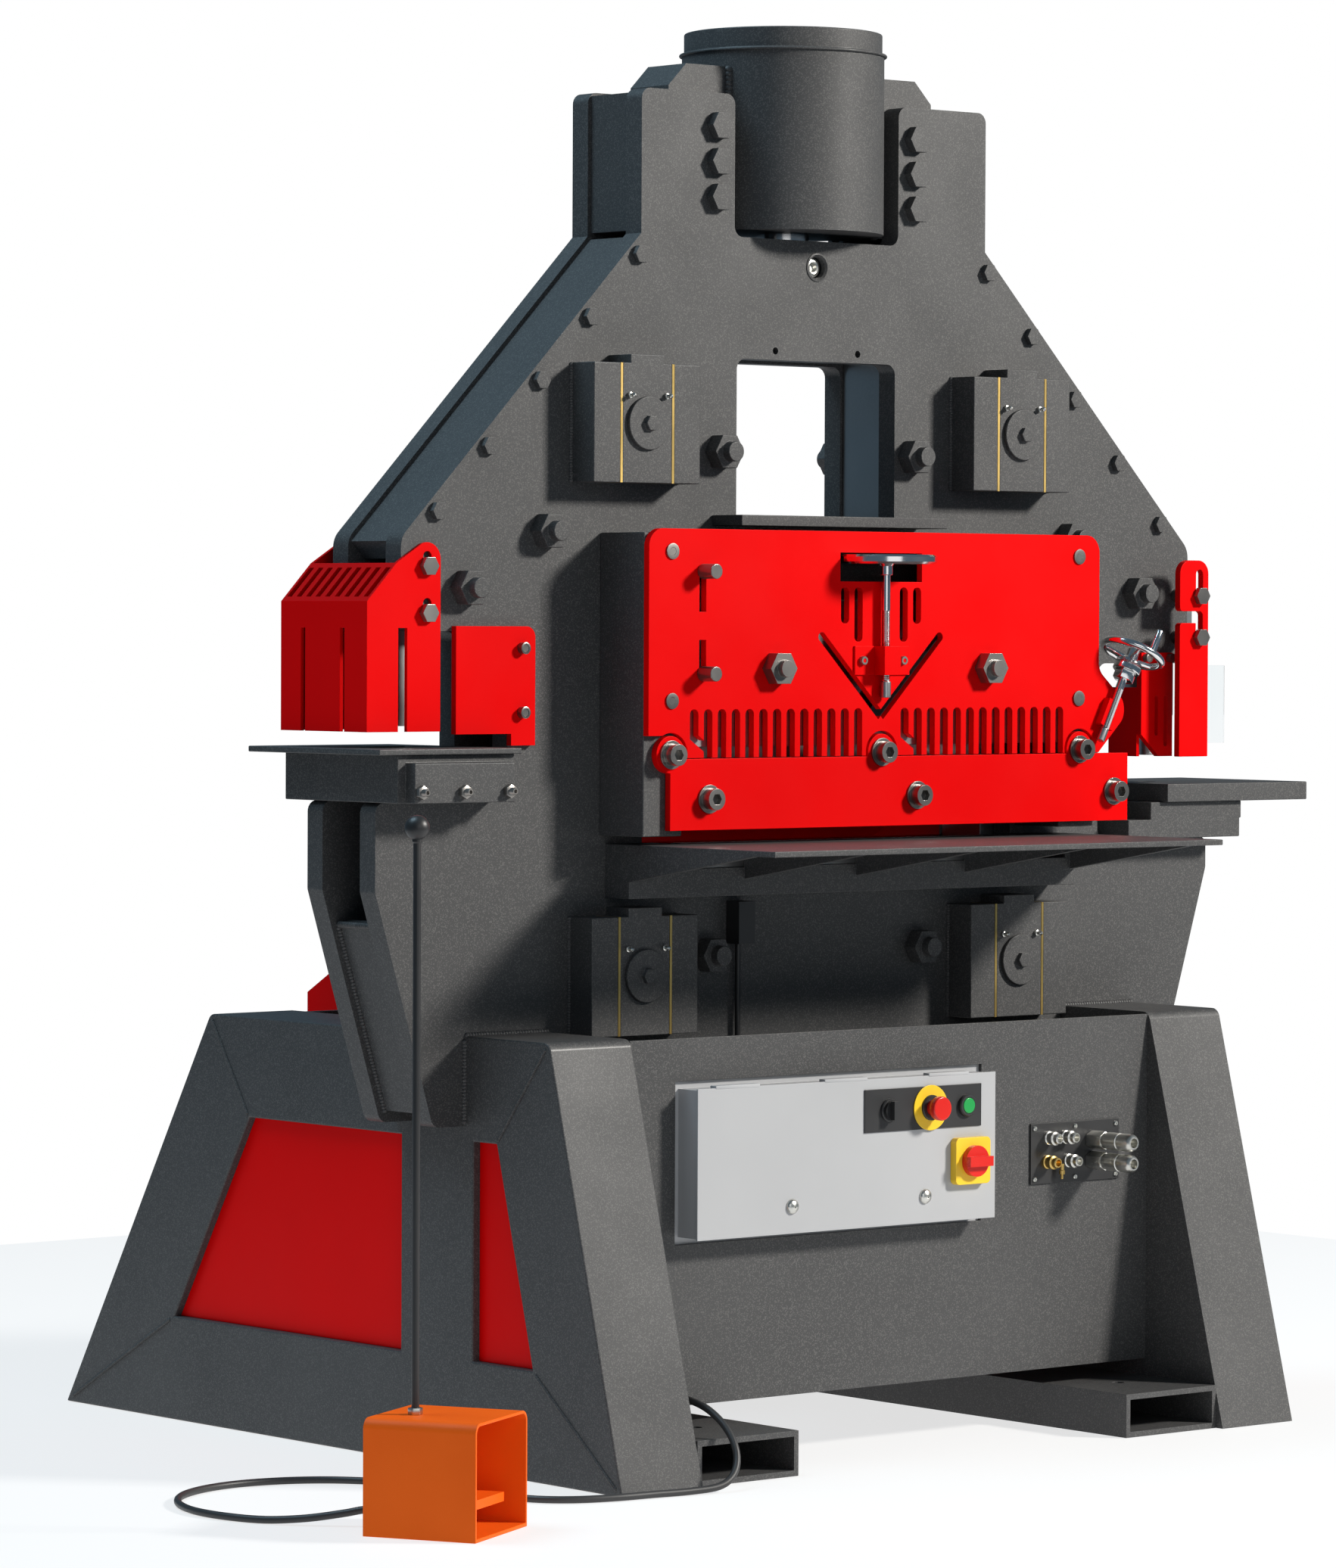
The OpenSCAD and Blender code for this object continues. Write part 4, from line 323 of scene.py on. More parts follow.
def turned(bm, profile, matrix, steps=32):
    """Spins a profile of (radius, height) points, in millimetres, about local Z."""
    start = [bm.verts.new((r * MM, 0, h * MM)) for r, h in profile]
    edges = [bm.edges.new(pair) for pair in zip(start, start[1:])]
    bmesh.ops.spin(bm, geom=start + edges, cent=(0, 0, 0), axis=(0, 0, 1), angle=2 * math.pi, steps=steps,
                   use_merge=True)
    faces = {f for v in start for f in v.link_faces}
    grown = set(faces)
    while faces:
        faces = {g for f in faces for e in f.edges for g in e.link_faces} - grown
        grown |= faces
    verts = list({v for f in grown for v in f.verts})
    bmesh.ops.remove_doubles(bm, verts=verts, dist=MERGE)
    grown = [f for f in grown if f.is_valid]
    bmesh.ops.recalc_face_normals(bm, faces=grown)
    bmesh.ops.transform(bm, matrix=matrix, verts=list({v for f in grown for v in f.verts}))


def block(bm, low, high, bevel=1.0):
    """A box between two places, with its edges rounded by a few tenths of a millimetre or more."""
    size = high - low
    place = Matrix.Translation((low + high) / 2) @ Matrix.Diagonal((*size, 1))
    made = bmesh.ops.create_cube(bm, size=1.0, matrix=place)
    edges = list({e for v in made["verts"] for e in v.link_edges})
    bmesh.ops.bevel(bm, geom=edges, offset=bevel * MM, offset_type="OFFSET", affect="EDGES", segments=2,
                    profile=0.5, material=-1)


print("helpers ready")

# %% [markdown]
# ## The foot switch's cable
# The cable leaves the front panel low at the left, drops to the floor in front of the foot, and runs in a
# wide loop to the back of the foot switch. It is a curve through listed points, with handles that
# make one smooth line, and it has a round bevel for its jacket.

# %% Lay the cable
CABLE_D = 0.010
PEDAL_TURN = math.radians(28)
PEDAL_PLACE = Vector((-0.998, -0.734, 0))
PEDAL_SIDE = Vector((math.cos(PEDAL_TURN), math.sin(PEDAL_TURN), 0))
PEDAL_BACK = Vector((-math.sin(PEDAL_TURN), math.cos(PEDAL_TURN), 0))
PANEL_GLAND = Vector((-0.455, -0.486, 0.112))
PEDAL_GLAND = PEDAL_PLACE + PEDAL_BACK * 0.078 + Vector((0, 0, 0.022))
CABLE_END = PEDAL_PLACE + PEDAL_BACK * 0.096 + Vector((0, 0, 0.022))
CABLE_ROUTE = [
    (-0.455, -0.498, 0.112), (-0.455, -0.531, 0.112), (-0.454, -0.568, 0.109), (-0.451, -0.604, 0.100),
    (-0.449, -0.636, 0.082), (-0.451, -0.660, 0.060), (-0.458, -0.675, 0.038), (-0.474, -0.684, 0.019),
    (-0.500, -0.686, 0.008), (-0.545, -0.680, 0.005), (-0.600, -0.672, 0.005), (-0.660, -0.664, 0.005),
    (-0.715, -0.644, 0.005), (-0.752, -0.606, 0.005), (-0.768, -0.546, 0.005), (-0.777, -0.476, 0.005),
    (-0.790, -0.406, 0.005), (-0.815, -0.346, 0.005), (-0.855, -0.296, 0.005), (-0.910, -0.264, 0.005),
    (-0.975, -0.252, 0.005), (-1.040, -0.264, 0.005), (-1.098, -0.298, 0.005), (-1.140, -0.351, 0.005),
    (-1.162, -0.416, 0.005), (-1.160, -0.481, 0.005), (-1.138, -0.538, 0.005), (-1.106, -0.582, 0.009),
    (-1.073, -0.616, 0.016), (-1.053, -0.634, 0.021), tuple(CABLE_END)]
route = [Vector(p) for p in CABLE_ROUTE]
cable_curve = bpy.data.curves.new("foot_cable_line", "CURVE")
cable_curve.dimensions = "3D"
cable_curve.bevel_depth = CABLE_D / 2
cable_curve.bevel_resolution = 4
cable_curve.resolution_u = 6
cable_curve.use_fill_caps = True
line = cable_curve.splines.new("BEZIER")
line.bezier_points.add(len(route) - 1)
for i, (point, place) in enumerate(zip(line.bezier_points, route)):
    lean = (route[min(i + 1, len(route) - 1)] - route[max(i - 1, 0)]) / 6
    point.co = place
    point.handle_left_type = point.handle_right_type = "FREE"
    point.handle_left = place - lean
    point.handle_right = place + lean
cable_curve.materials.append(looks["cable_rubber"])
cable = bpy.data.objects.new("foot_cable_line", cable_curve)
bpy.context.scene.collection.objects.link(cable)
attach(cable, "frame")
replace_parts(cable, "foot_cable")
print("cable points", len(route))

# %% [markdown]
# A gland is a threaded sleeve with a nut that grips the jacket where it goes through a wall. It is round all
# over, so a profile is turned for each end of the cable. A stack of cylinders would do too, but a profile
# keeps the steps and the cone in one closed skin.

# %% Make the glands that hold the cable's ends
bm = bmesh.new()
GLAND = [(0, 0), (9, 0), (9, 5), (8.2, 6), (8.2, 9), (7.4, 10), (6.2, 12), (0, 12)]
turned(bm, GLAND, turn_to(FRONT, PANEL_GLAND), 24)
LONG_GLAND = [(0, 0), (9, 0), (9, 6), (8.2, 7), (8.2, 11), (7.2, 12), (6.0, 18), (0, 18)]
turned(bm, LONG_GLAND, turn_to(PEDAL_BACK, PEDAL_GLAND), 24)
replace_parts(add_piece("cable_gland_pair", bm, "black_plastic", "frame"), "cable_glands")
print("glands made")

# %% [markdown]
# ## Rounded plates and tubes
# Flame-cut plate, bent sheet and rolled tube never end in a perfect edge, and the thin highlight along the
# rounding is what makes them look like steel. Each CAD node stays as it is. A merged copy of it gets a small
# bevel on its sharp edges and stands for it.

# %% Round a copy of each node
LOOSE_MERGE = 1e-5
FLAT_ANGLE = math.radians(0.5)
ROUND_FROM = 3


def rounded_copy(node, radius, segments=2, sharp=32):
    bm = bmesh.new()
    bm.from_mesh(nodes[node].data)
    bmesh.ops.remove_doubles(bm, verts=bm.verts, dist=LOOSE_MERGE)
    bmesh.ops.dissolve_limit(bm, angle_limit=FLAT_ANGLE, verts=bm.verts, edges=bm.edges)
    edges = [e for e in bm.edges if e.is_manifold and e.calc_face_angle() > math.radians(sharp)]
    bmesh.ops.bevel(bm, geom=edges, offset=radius * MM, offset_type="OFFSET", affect="EDGES",
                    segments=segments, profile=0.5, material=-1, clamp_overlap=True)
    bmesh.ops.remove_doubles(bm, verts=bm.verts, dist=MERGE)
    piece = add_piece(f"{node}_rounded", bm, slot_of[node], body_of[node])
    even = piece.modifiers.new("even_normals", "WEIGHTED_NORMAL")
    even.weight = 100
    even.keep_sharp = True
    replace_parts(piece, node)


EDGES = {
    "front_frame_plate": 2.0, "rear_frame_plate": 2.0, "frame_spacers": 1.5, "cylinder_barrel": 2.5,
    "cylinder_cap": 3.0, "guide_gibs": 1.5, "shear_housing": 2.0, "side_tables": 1.5, "die_blocks": 1.5,
    "shear_table": 1.2, "tool_table": 1.5, "front_panel": 1.5, "rear_panel": 1.5, "left_base_frame": 9.0,
    "right_base_frame": 9.0, "fork_tubes": 3.0, "angle_guard": 1.2, "flat_guard": 1.2,
    "hold_down_brackets": 0.8, "notch_guard": 1.0, "punch_guard": 1.0, "side_guards": 1.0,
    "clear_shield": 0.6, "base_panels": 0.8, "drop_chute": 0.8, "guide_slides": 1.2, "electrical_box": 1.0,
    "control_plates": 0.4, "estop_button": 2.5, "start_button": 1.2, "selector_knob": 1.5,
    "disconnect_base": 0.6, "disconnect_handle": 2.0,
    "pedal_guard": 0.8, "pedal_treadle": 3.0, "frame_bolts": 1.3, "tie_rods": 2.0, "beam_pins": 1.2,
    "guard_fasteners": 1.0, "side_guard_bolts": 1.0, "upper_stop_pin": 1.2, "lower_stop_pin": 1.2,
    "ram_beam": 1.5, "upper_blades": 0.6, "lower_blades": 0.6, "hold_down_bar": 1.0, "limit_switch": 1.5,
    "hole_punch": 1.0, "notch_punch": 0.6, "angle_hold_pad": 1.0, "bar_hold_pad": 1.0,
}
for node, radius in EDGES.items():
    rounded_copy(node, radius, segments=3 if radius >= ROUND_FROM else 2)
for node in ("power_unit", "piston_rod", "bronze_strips"):
    nodes[node].data.materials.clear()
    nodes[node].data.materials.append(looks[slot_of[node]])
print("rounded", len(EDGES))

# %% [markdown]
# ## Weld beads
# The cylinder's lugs, the guide bars, the end bars and the mitred base tubes are welded by hand. A bead is a
# row of small drops that overlap, so each seam is a row of low spheres from one end to the other, half sunk
# in the steel. A tube along the seam would be lighter, but it would look like wire.

# %% Helper for a weld bead
DROP_STEP, DROP_SQUASH = 0.95, 0.8
WELD_CRISP = 60
SIDES = (-1, 1)


def weld(bm, start, end, radius):
    """A row of overlapping drops between two places, with the radius in millimetres."""
    run = end - start
    stand = turn_to(run, Vector()) @ Matrix.Diagonal((1, 1, DROP_SQUASH, 1))
    count = max(2, round(run.length / (radius * DROP_STEP * MM)))
    seam = bmesh.new()
    for i in range(count + 1):
        bmesh.ops.create_icosphere(seam, subdivisions=2, radius=radius * MM,
                                   matrix=Matrix.Translation(start.lerp(end, i / count)) @ stand)
    laid = bpy.data.meshes.new("seam")
    seam.to_mesh(laid)
    seam.free()
    bm.from_mesh(laid)
    bpy.data.meshes.remove(laid)


print("weld helper ready")

# %% Weld the cylinder's lugs and the guide bars
LUG_X, LUG_LOW, LUG_HIGH, LUG_BEAD = 139, 1714, 1938, 7
LUG_FACES = (34.3, 117.7)
bm = bmesh.new()
for side in SIDES:
    for y in LUG_FACES:
        weld(bm, spot(LUG_X * side, y, LUG_LOW), spot(LUG_X * side, y, LUG_HIGH), LUG_BEAD)
add_piece("cylinder_welds", bm, "charcoal_paint", "frame", WELD_CRISP)
FRAME_DEPTH = 152
GUIDE_X, GUIDE_HALF, GUIDE_SEAM_HALF, GUIDE_BEAD = 355, 95.5, 80, 4
GUIDE_ROWS = (1432, 668)
bm = bmesh.new()
for side in SIDES:
    for edge in (GUIDE_X - GUIDE_HALF, GUIDE_X + GUIDE_HALF):
        for z in GUIDE_ROWS:
            low, high = z - GUIDE_SEAM_HALF, z + GUIDE_SEAM_HALF
            for y in (0, FRAME_DEPTH):
                weld(bm, spot(edge * side, y, low), spot(edge * side, y, high), GUIDE_BEAD)
add_piece("guide_welds", bm, "charcoal_paint", "frame", WELD_CRISP)
print("lugs and guides welded")

# %% Weld the end bars
KNEE, FOOT = Vector((787, 792)), Vector((687, 470))
BAR_INSET, BAR_BEAD = 12, 5
BAR_FRONT, BAR_REAR, BAR_GAP = 34, 118, 4
BAR_SHARES = (0.16, 0.96)
bar_lean = (FOOT - KNEE).normalized()
bar_inward = Vector((bar_lean.y, -bar_lean.x))
bm = bmesh.new()
for side in SIDES:
    high, low = (KNEE.lerp(FOOT, share) + bar_inward * BAR_INSET for share in BAR_SHARES)
    for y in (BAR_FRONT, BAR_REAR):
        weld(bm, spot(high.x * side, y, high.y), spot(low.x * side, y, low.y), BAR_BEAD)
    weld(bm, spot(high.x * side, BAR_FRONT + BAR_GAP, high.y),
         spot(high.x * side, BAR_REAR - BAR_GAP, high.y), BAR_BEAD)
add_piece("end_bar_welds", bm, "charcoal_paint", "frame", WELD_CRISP)
print("end bars welded")

# %% Weld the base
MITRES = [((496, 450), (591, 593)), ((678, 150), (951, 0)),
          ((-70, 450), (-182, 593)), ((-149, 150), (-339, 0))]
MITRE_SHARES = (0.04, 0.93)
TUBE_IN, TUBE_SEAM_END, TUBE_OUT = 490, 630, 633
BASE_TOP, PLATE_FOOT = 593, 470
SEAM_DROP, SEAM_RISE = 8, 6
MITRE_BEAD, BASE_BEAD = 2.8, 5
bm = bmesh.new()
for side in SIDES:
    for low, high in MITRES:
        inner, outer = Vector(low), Vector(high)
        close, far = (inner.lerp(outer, share) for share in MITRE_SHARES)
        weld(bm, spot(TUBE_OUT * side, close.x, close.y), spot(TUBE_OUT * side, far.x, far.y), MITRE_BEAD)
    for y in (0, FRAME_DEPTH):
        weld(bm, spot(TUBE_IN * side, y, BASE_TOP), spot(TUBE_SEAM_END * side, y, BASE_TOP), BASE_BEAD)
        weld(bm, spot(TUBE_OUT * side, y, BASE_TOP - SEAM_DROP),
             spot(TUBE_OUT * side, y, PLATE_FOOT + SEAM_RISE), BASE_BEAD)
add_piece("base_welds", bm, "charcoal_paint", "frame", WELD_CRISP)
print("base welded")

# %% [markdown]
# ## Hold-down screws
# Two screws press the stock down: an upright one with a wheel in the guard's window, and a tilted one with a
# small dished wheel and a grip. Wheels, hubs and threads are turned from profiles, and the spokes are thin
# cones, because that is how such wheels are made.

# %% Helpers for turned hardware
SPOKE_TAPER = 0.8


def ring_profile(middle, radius, steps=12):
    """A closed round section for a wheel's rim."""
    angles = [2 * math.pi * i / steps for i in range(steps + 1)]
    return [(middle + radius * math.cos(a), radius * math.sin(a)) for a in angles]


def thread(radius, low, high, pitch, depth=0.7):
    """The profile of a threaded length, as plain rings."""
    count = round((high - low) / pitch)
    step = (high - low) / count
    return [point for i in range(count) for point in
            ((radius, low + i * step), (radius - depth, low + (i + 0.5) * step))] + [(radius, high)]


def hex_nut(bm, matrix, across, height, bevel=0.8):
    """A hexagonal nut or head that stands on local Z, with rounded edges."""
    made = bmesh.ops.create_cone(bm, cap_ends=True, segments=6, radius1=across * MM / math.sqrt(3),
                                 radius2=across * MM / math.sqrt(3), depth=height * MM,
                                 matrix=matrix @ Matrix.Translation((0, 0, height * MM / 2)))
    edges = list({e for v in made["verts"] for e in v.link_edges})
    bmesh.ops.bevel(bm, geom=edges, offset=bevel * MM, offset_type="OFFSET", affect="EDGES", segments=2,
                    profile=0.5, material=-1)


def spoke(bm, start, end, radius):
    """A round bar between two places, a little thinner at its end."""
    run = end - start
    bmesh.ops.create_cone(bm, cap_ends=True, segments=12, radius1=radius * MM,
                          radius2=radius * SPOKE_TAPER * MM, depth=run.length,
                          matrix=turn_to(run, (start + end) / 2))


def up(height):
    """The matrix that lifts a piece along local Z, in millimetres."""
    return Matrix.Translation((0, 0, height * MM))


print("hardware helpers ready")

# %% Turn the upright screw and its wheel
HOLD_X, HOLD_Y = 30.5, -116
ROD_R, ROD_TIP_R, PITCH = 6.35, 5.6, 1.75
WHEEL_RIM = [(58, 1243), (60, 1241), (69.5, 1241), (72.5, 1244), (72.5, 1251), (69.5, 1254), (60, 1254),
             (58, 1252), (58, 1243)]
WHEEL_WEB = [(8, 1244), (20, 1243), (58.5, 1245), (58.5, 1249), (20, 1248.5), (16, 1252), (8, 1253)]
WHEEL_HUB = [(0, 1225), (8.5, 1225), (9.5, 1226), (9.5, 1238), (14, 1244), (14, 1252), (12.5, 1253.5),
             (0, 1253.5)]
UPRIGHT_ROD = [(0, 1075.3), (ROD_TIP_R, 1075.3), *thread(ROD_R, 1077, 1175, PITCH), (ROD_R, 1226), (0, 1226)]
stand = Matrix.Translation(spot(HOLD_X, HOLD_Y, 0))
bm = bmesh.new()
turned(bm, WHEEL_RIM, stand, 64)
turned(bm, WHEEL_WEB, stand, 48)
turned(bm, WHEEL_HUB, stand)
turned(bm, UPRIGHT_ROD, stand, 24)
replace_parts(add_piece("upright_screw", bm, "chrome_steel", "angle_screw"), "angle_hold_screw")
print("upright screw made")

# %% Turn the tilted screw, its dished wheel and its grip
TILT = math.radians(27)
TILT_X, TILT_Z = 461.5, 1005
WHEEL_AT, RIM, RIM_BAR = 123, 44.5, 5.5
SPOKES, SPOKE_FROM, SPOKE_R, DISH = 3, 9, 4.5, 9
LOCK_AT, LOCK_ACROSS, LOCK_HEIGHT = 79, 28, 14
GRIP_TURN = math.radians(-95)
TILTED_HUB = [(0, 93), (19.5, 93), (20.5, 94), (20.5, 106), (19, 109), (13, 112), (10, 117), (9.5, 127),
              (8.5, 128.5), (0, 128.5)]
TILTED_ROD = [(0, 0), (ROD_TIP_R, 0), *thread(ROD_R, 1, 64, PITCH), (ROD_R, 80), (0, 80)]
GRIP = [(0, 0), (5.0, 0), (5.4, 6), (5.5, 20), (5.2, 34), (4.4, 35.6), (0, 36)]
lean = Matrix.Translation(spot(TILT_X, HOLD_Y, TILT_Z)) @ Matrix.Rotation(TILT, 4, "Y")
bm = bmesh.new()
turned(bm, ring_profile(RIM, RIM_BAR), lean @ up(WHEEL_AT), 48)
for i in range(SPOKES):
    angle = i * 2 * math.pi / SPOKES
    outward = Vector((math.cos(angle), math.sin(angle), 0)) * MM
    inner = outward * SPOKE_FROM + Vector((0, 0, (WHEEL_AT - DISH) * MM))
    spoke(bm, lean @ inner, lean @ (outward * RIM + Vector((0, 0, WHEEL_AT * MM))), SPOKE_R)
turned(bm, TILTED_HUB, lean)
hex_nut(bm, lean @ up(LOCK_AT), LOCK_ACROSS, LOCK_HEIGHT)
turned(bm, TILTED_ROD, lean, 24)
grip_at = Vector((RIM * math.cos(GRIP_TURN), RIM * math.sin(GRIP_TURN), WHEEL_AT)) * MM
turned(bm, GRIP, lean @ Matrix.Translation(grip_at), 20)
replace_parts(add_piece("tilted_screw", bm, "chrome_steel", "bar_screw"), "bar_hold_screw")
print("tilted screw made")

# %% [markdown]
# ## Small screws and fittings
# Screw heads with a socket, set screws with their lock nuts, and grease nipples are too small for the CAD
# model, but they give the eye a scale. Each kind is one profile or one nut, placed where the machine has it.
# At this size a socket can be a round step, which turns with the rest of its head.

# %% Place the socket heads
RIM_SHARE, CROWN_SHARE = 0.8, 0.88
MOUTH_SHARE, FLOOR_SHARE = 0.62, 0.55
FLOOR_AT_SHARE, MIDDLE_AT_SHARE = 0.45, 0.40


def socket_head(bm, x, y, z, radius, height, key):
    """A round head towards the viewer, with its socket as a round step."""
    turned(bm, [(0, 0), (radius, 0), (radius, height * RIM_SHARE), (radius * CROWN_SHARE, height),
                (key * MOUTH_SHARE, height), (key * FLOOR_SHARE, height * FLOOR_AT_SHARE),
                (0, height * MIDDLE_AT_SHARE)], turn_to(FRONT, spot(x, y, z)), 24)


BRACKET_HEAD, NOTCH_HEAD = (6.4, 5.6, 5), (8.2, 1.6, 9)
PUNCH_HEAD, GUARD_HEAD = (6.6, 1.4, 6), (11.1, 0.9, 9)
BRACKET_FACE, SIDE_FACE, GUARD_FACE = -109, -18.5, -107.5
BRACKET_HALF, BRACKET_Z = 38, 1104.5
NOTCH_X, NOTCH_ROWS = -544, (1121, 1033)
PUNCH_COLUMNS, PUNCH_Z = (648, 697), 1107
GUARD_HALF, GUARD_ROWS = 387, (1255, 1049)
bm = bmesh.new()
for side in SIDES:
    socket_head(bm, HOLD_X + BRACKET_HALF * side, BRACKET_FACE, BRACKET_Z, *BRACKET_HEAD)
for z in NOTCH_ROWS:
    socket_head(bm, NOTCH_X, SIDE_FACE, z, *NOTCH_HEAD)
for x in PUNCH_COLUMNS:
    socket_head(bm, x, SIDE_FACE, PUNCH_Z, *PUNCH_HEAD)
for side in SIDES:
    for z in GUARD_ROWS:
        socket_head(bm, HOLD_X + GUARD_HALF * side, GUARD_FACE, z, *GUARD_HEAD)
add_piece("socket_heads", bm, "bolt_steel", "frame")
print("socket heads placed")

# %% Place the set screws and the grease nipples
SET_COLUMNS, SET_FACE, SET_Z = (-764, -691, -614), -69.5, 928
SET_NUT = (17, 8)
SET_SCREW = [(0, 0), (5, 0), *thread(5, 8, 15, 1.4), (4.2, 16), (2.6, 16), (2.4, 12), (0, 12)]
bm = bmesh.new()
for x in SET_COLUMNS:
    front = turn_to(FRONT, spot(x, SET_FACE, SET_Z))
    hex_nut(bm, front, *SET_NUT)
    turned(bm, SET_SCREW, front, 20)
add_piece("die_set_screws", bm, "bolt_steel", "frame")
NIPPLE = [(0, 0), (4.2, 0), (4.2, 4), (2.6, 4.6), (2.4, 8), (3.3, 9.5), (3.3, 11.5), (1.6, 13.4), (0, 13.5)]
NIPPLE_HALF, NIPPLE_FACE, NIPPLE_RISE = 33, -50.2, 38
bm = bmesh.new()
for side in SIDES:
    for z in GUIDE_ROWS:
        for x in (-NIPPLE_HALF, NIPPLE_HALF):
            place = spot(GUIDE_X * side + x, NIPPLE_FACE, z + NIPPLE_RISE)
            turned(bm, NIPPLE, turn_to(FRONT, place), 16)
add_piece("grease_nipples", bm, "zinc_steel", "ram")
print("set screws and nipples placed")

# %% [markdown]
# The foot switch is moved about with the foot or by a thin upright pole with a ball on top. The pole is
# turned with its ferrule, and the ball from a half circle, because a turned ball closes cleanly at both
# ends. A zinc nut locks the pole to the guard.

# %% Turn the pole with its knob
pole_foot = PEDAL_PLACE + PEDAL_SIDE * -0.023 + PEDAL_BACK * 0.032
pole_stand = Matrix.Translation(pole_foot)
POLE_LOW, KNOB_Z, KNOB_R, KNOB_STEPS = 150, 896, 16, 16
POLE = [(0, POLE_LOW), (5, POLE_LOW), (5, 876), (6.5, 878), (6.5, 882), (0, 882)]
POLE_NUT = (17, 9)
bend = [math.pi * i / KNOB_STEPS for i in range(1, KNOB_STEPS)]
KNOB = [(KNOB_R * math.sin(a), KNOB_Z - KNOB_R * math.cos(a)) for a in bend]
bm = bmesh.new()
turned(bm, POLE, pole_stand, 20)
turned(bm, [(0, KNOB_Z - KNOB_R), *KNOB, (0, KNOB_Z + KNOB_R)], pole_stand, 32)
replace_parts(add_piece("pole_and_knob", bm, "black_plastic", "frame"), "pedal_pole")
bm = bmesh.new()
hex_nut(bm, pole_stand @ up(POLE_LOW), *POLE_NUT)
add_piece("pole_nut", bm, "zinc_steel", "frame")
print("pole made")

# %% [markdown]
# ## Controls and couplings
# The lid of the electrical box hangs on three tabs and closes with two round-headed screws. The buttons sit
# in black collars. Beside the box, a small plate holds electrical connectors, and two hose couplings stand
# out from it. The tabs are small rounded blocks; the rest are turned profiles, because the real ones come
# from a lathe or a round mould.

# %% Dress the electrical box
LID_FRONT, PORT_FACE = -218, -183
LID_TABS = ((-369, -290), (-171, -92), (24, 100))
TAB_OUT, TAB_IN, TAB_LOW, TAB_HIGH, TAB_EDGE = -0.6, 12, 521.5, 526, 0.6
bm = bmesh.new()
for left, right in LID_TABS:
    block(bm, spot(left, LID_FRONT + TAB_OUT, TAB_LOW), spot(right, LID_FRONT + TAB_IN, TAB_HIGH), TAB_EDGE)
add_piece("lid_tabs", bm, "enclosure_grey", "frame")
LID_SCREW = [(0, 0), (10.5, 0), (10.5, 1.4), (9.4, 3.4), (7, 5.2), (2.2, 6.2), (2.0, 5.0), (0, 5.0)]
LID_SCREW_COLUMNS, LID_SCREW_Z = (-230, 18), 353.5
PORT_SCREW = [(0, 0), (3.6, 0), (3.6, 1.6), (2.8, 2.6), (1.5, 2.6), (1.4, 1.4), (0, 1.4)]
PORT_COLUMNS, PORT_ROWS = (262, 342, 423), (361, 434)
bm = bmesh.new()
for x in LID_SCREW_COLUMNS:
    turned(bm, LID_SCREW, turn_to(FRONT, spot(x, LID_FRONT, LID_SCREW_Z)), 28)
for z in PORT_ROWS:
    for x in PORT_COLUMNS:
        turned(bm, PORT_SCREW, turn_to(FRONT, spot(x, PORT_FACE, z)), 16)
add_piece("panel_screws", bm, "zinc_steel", "frame")
print("lid tabs and screws made")

# %% Put a collar round each button
SWITCH_Z, PLATE_FACE, RING_T = 478, -220, 2
COLLAR_DROP, COLLAR_IN = 1.5, 1.3


def collar(bm, x, face, inner, outer, height):
    """A ring that stands round a button."""
    turned(bm, [(inner, 0), (outer, 0), (outer, height - COLLAR_DROP), (outer - COLLAR_IN, height),
                (inner, height), (inner, 0)], turn_to(FRONT, spot(x, face, SWITCH_Z)), 32)


STOP_X, START_X, SELECTOR_X = 25, 94, -52
bm = bmesh.new()
collar(bm, STOP_X, PLATE_FACE - RING_T, 11.6, 18, 3.8)
collar(bm, START_X, PLATE_FACE, 11.5, 15.8, 6)
collar(bm, SELECTOR_X, PLATE_FACE, 13.4, 16.6, 4)
add_piece("button_collars", bm, "black_plastic", "frame")
print("collars made")

# %% Turn the connectors and couplings
CONNECTOR = [(0, 0), (10, 0), (10, 4), (8.4, 5), (8.4, 9), (9.8, 10), (9.8, 16), (7.4, 17.5), (7.4, 24),
             (6.4, 25), (5, 25), (4.8, 16), (0, 16)]
COUPLER = [(0, 28), (11.5, 28), (11.5, 36), (13, 38), (13, 60), (11.8, 61), (11.8, 64), (13, 65), (13, 82),
           (11, 86), (9, 88), (7, 88), (6.8, 70), (0, 70)]
CONNECTORS = ((289, 419.25), (322, 419.25), (328, 385))
COUPLER_X, COUPLER_ROWS, COUPLER_NUT = 375, (383, 413), (24, 30, 1.2)
bm = bmesh.new()
for x, z in CONNECTORS:
    turned(bm, CONNECTOR, turn_to(FRONT, spot(x, PORT_FACE, z)), 24)
for z in COUPLER_ROWS:
    front = turn_to(FRONT, spot(COUPLER_X, PORT_FACE, z))
    hex_nut(bm, front, *COUPLER_NUT)
    turned(bm, COUPLER, front, 28)
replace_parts(add_piece("couplings", bm, "zinc_steel", "frame"), "hydraulic_ports")
BRASS_X, BRASS_Z = 286, 385
DRAIN = [(0, 0), (3.2, 0), (3.2, 9), (4.4, 10), (4.4, 15), (2.2, 16), (2.2, 22), (0, 22)]
DRAIN_X, DRAIN_OUT, DRAIN_Z = 308, 9, 382
bm = bmesh.new()
turned(bm, CONNECTOR, turn_to(FRONT, spot(BRASS_X, PORT_FACE, BRASS_Z)), 24)
turned(bm, DRAIN, turn_to((0, 0, -1), spot(DRAIN_X, PORT_FACE - DRAIN_OUT, DRAIN_Z)), 16)
add_piece("brass_plug", bm, "guide_bronze", "frame")
print("couplings made")

# %% [markdown]
# Above the press window a hole goes through the front plate. A bush lines it and a bright plug closes it a
# little way in. Both are turned, and the bush keeps a thin lip in front of the plate, which catches light.

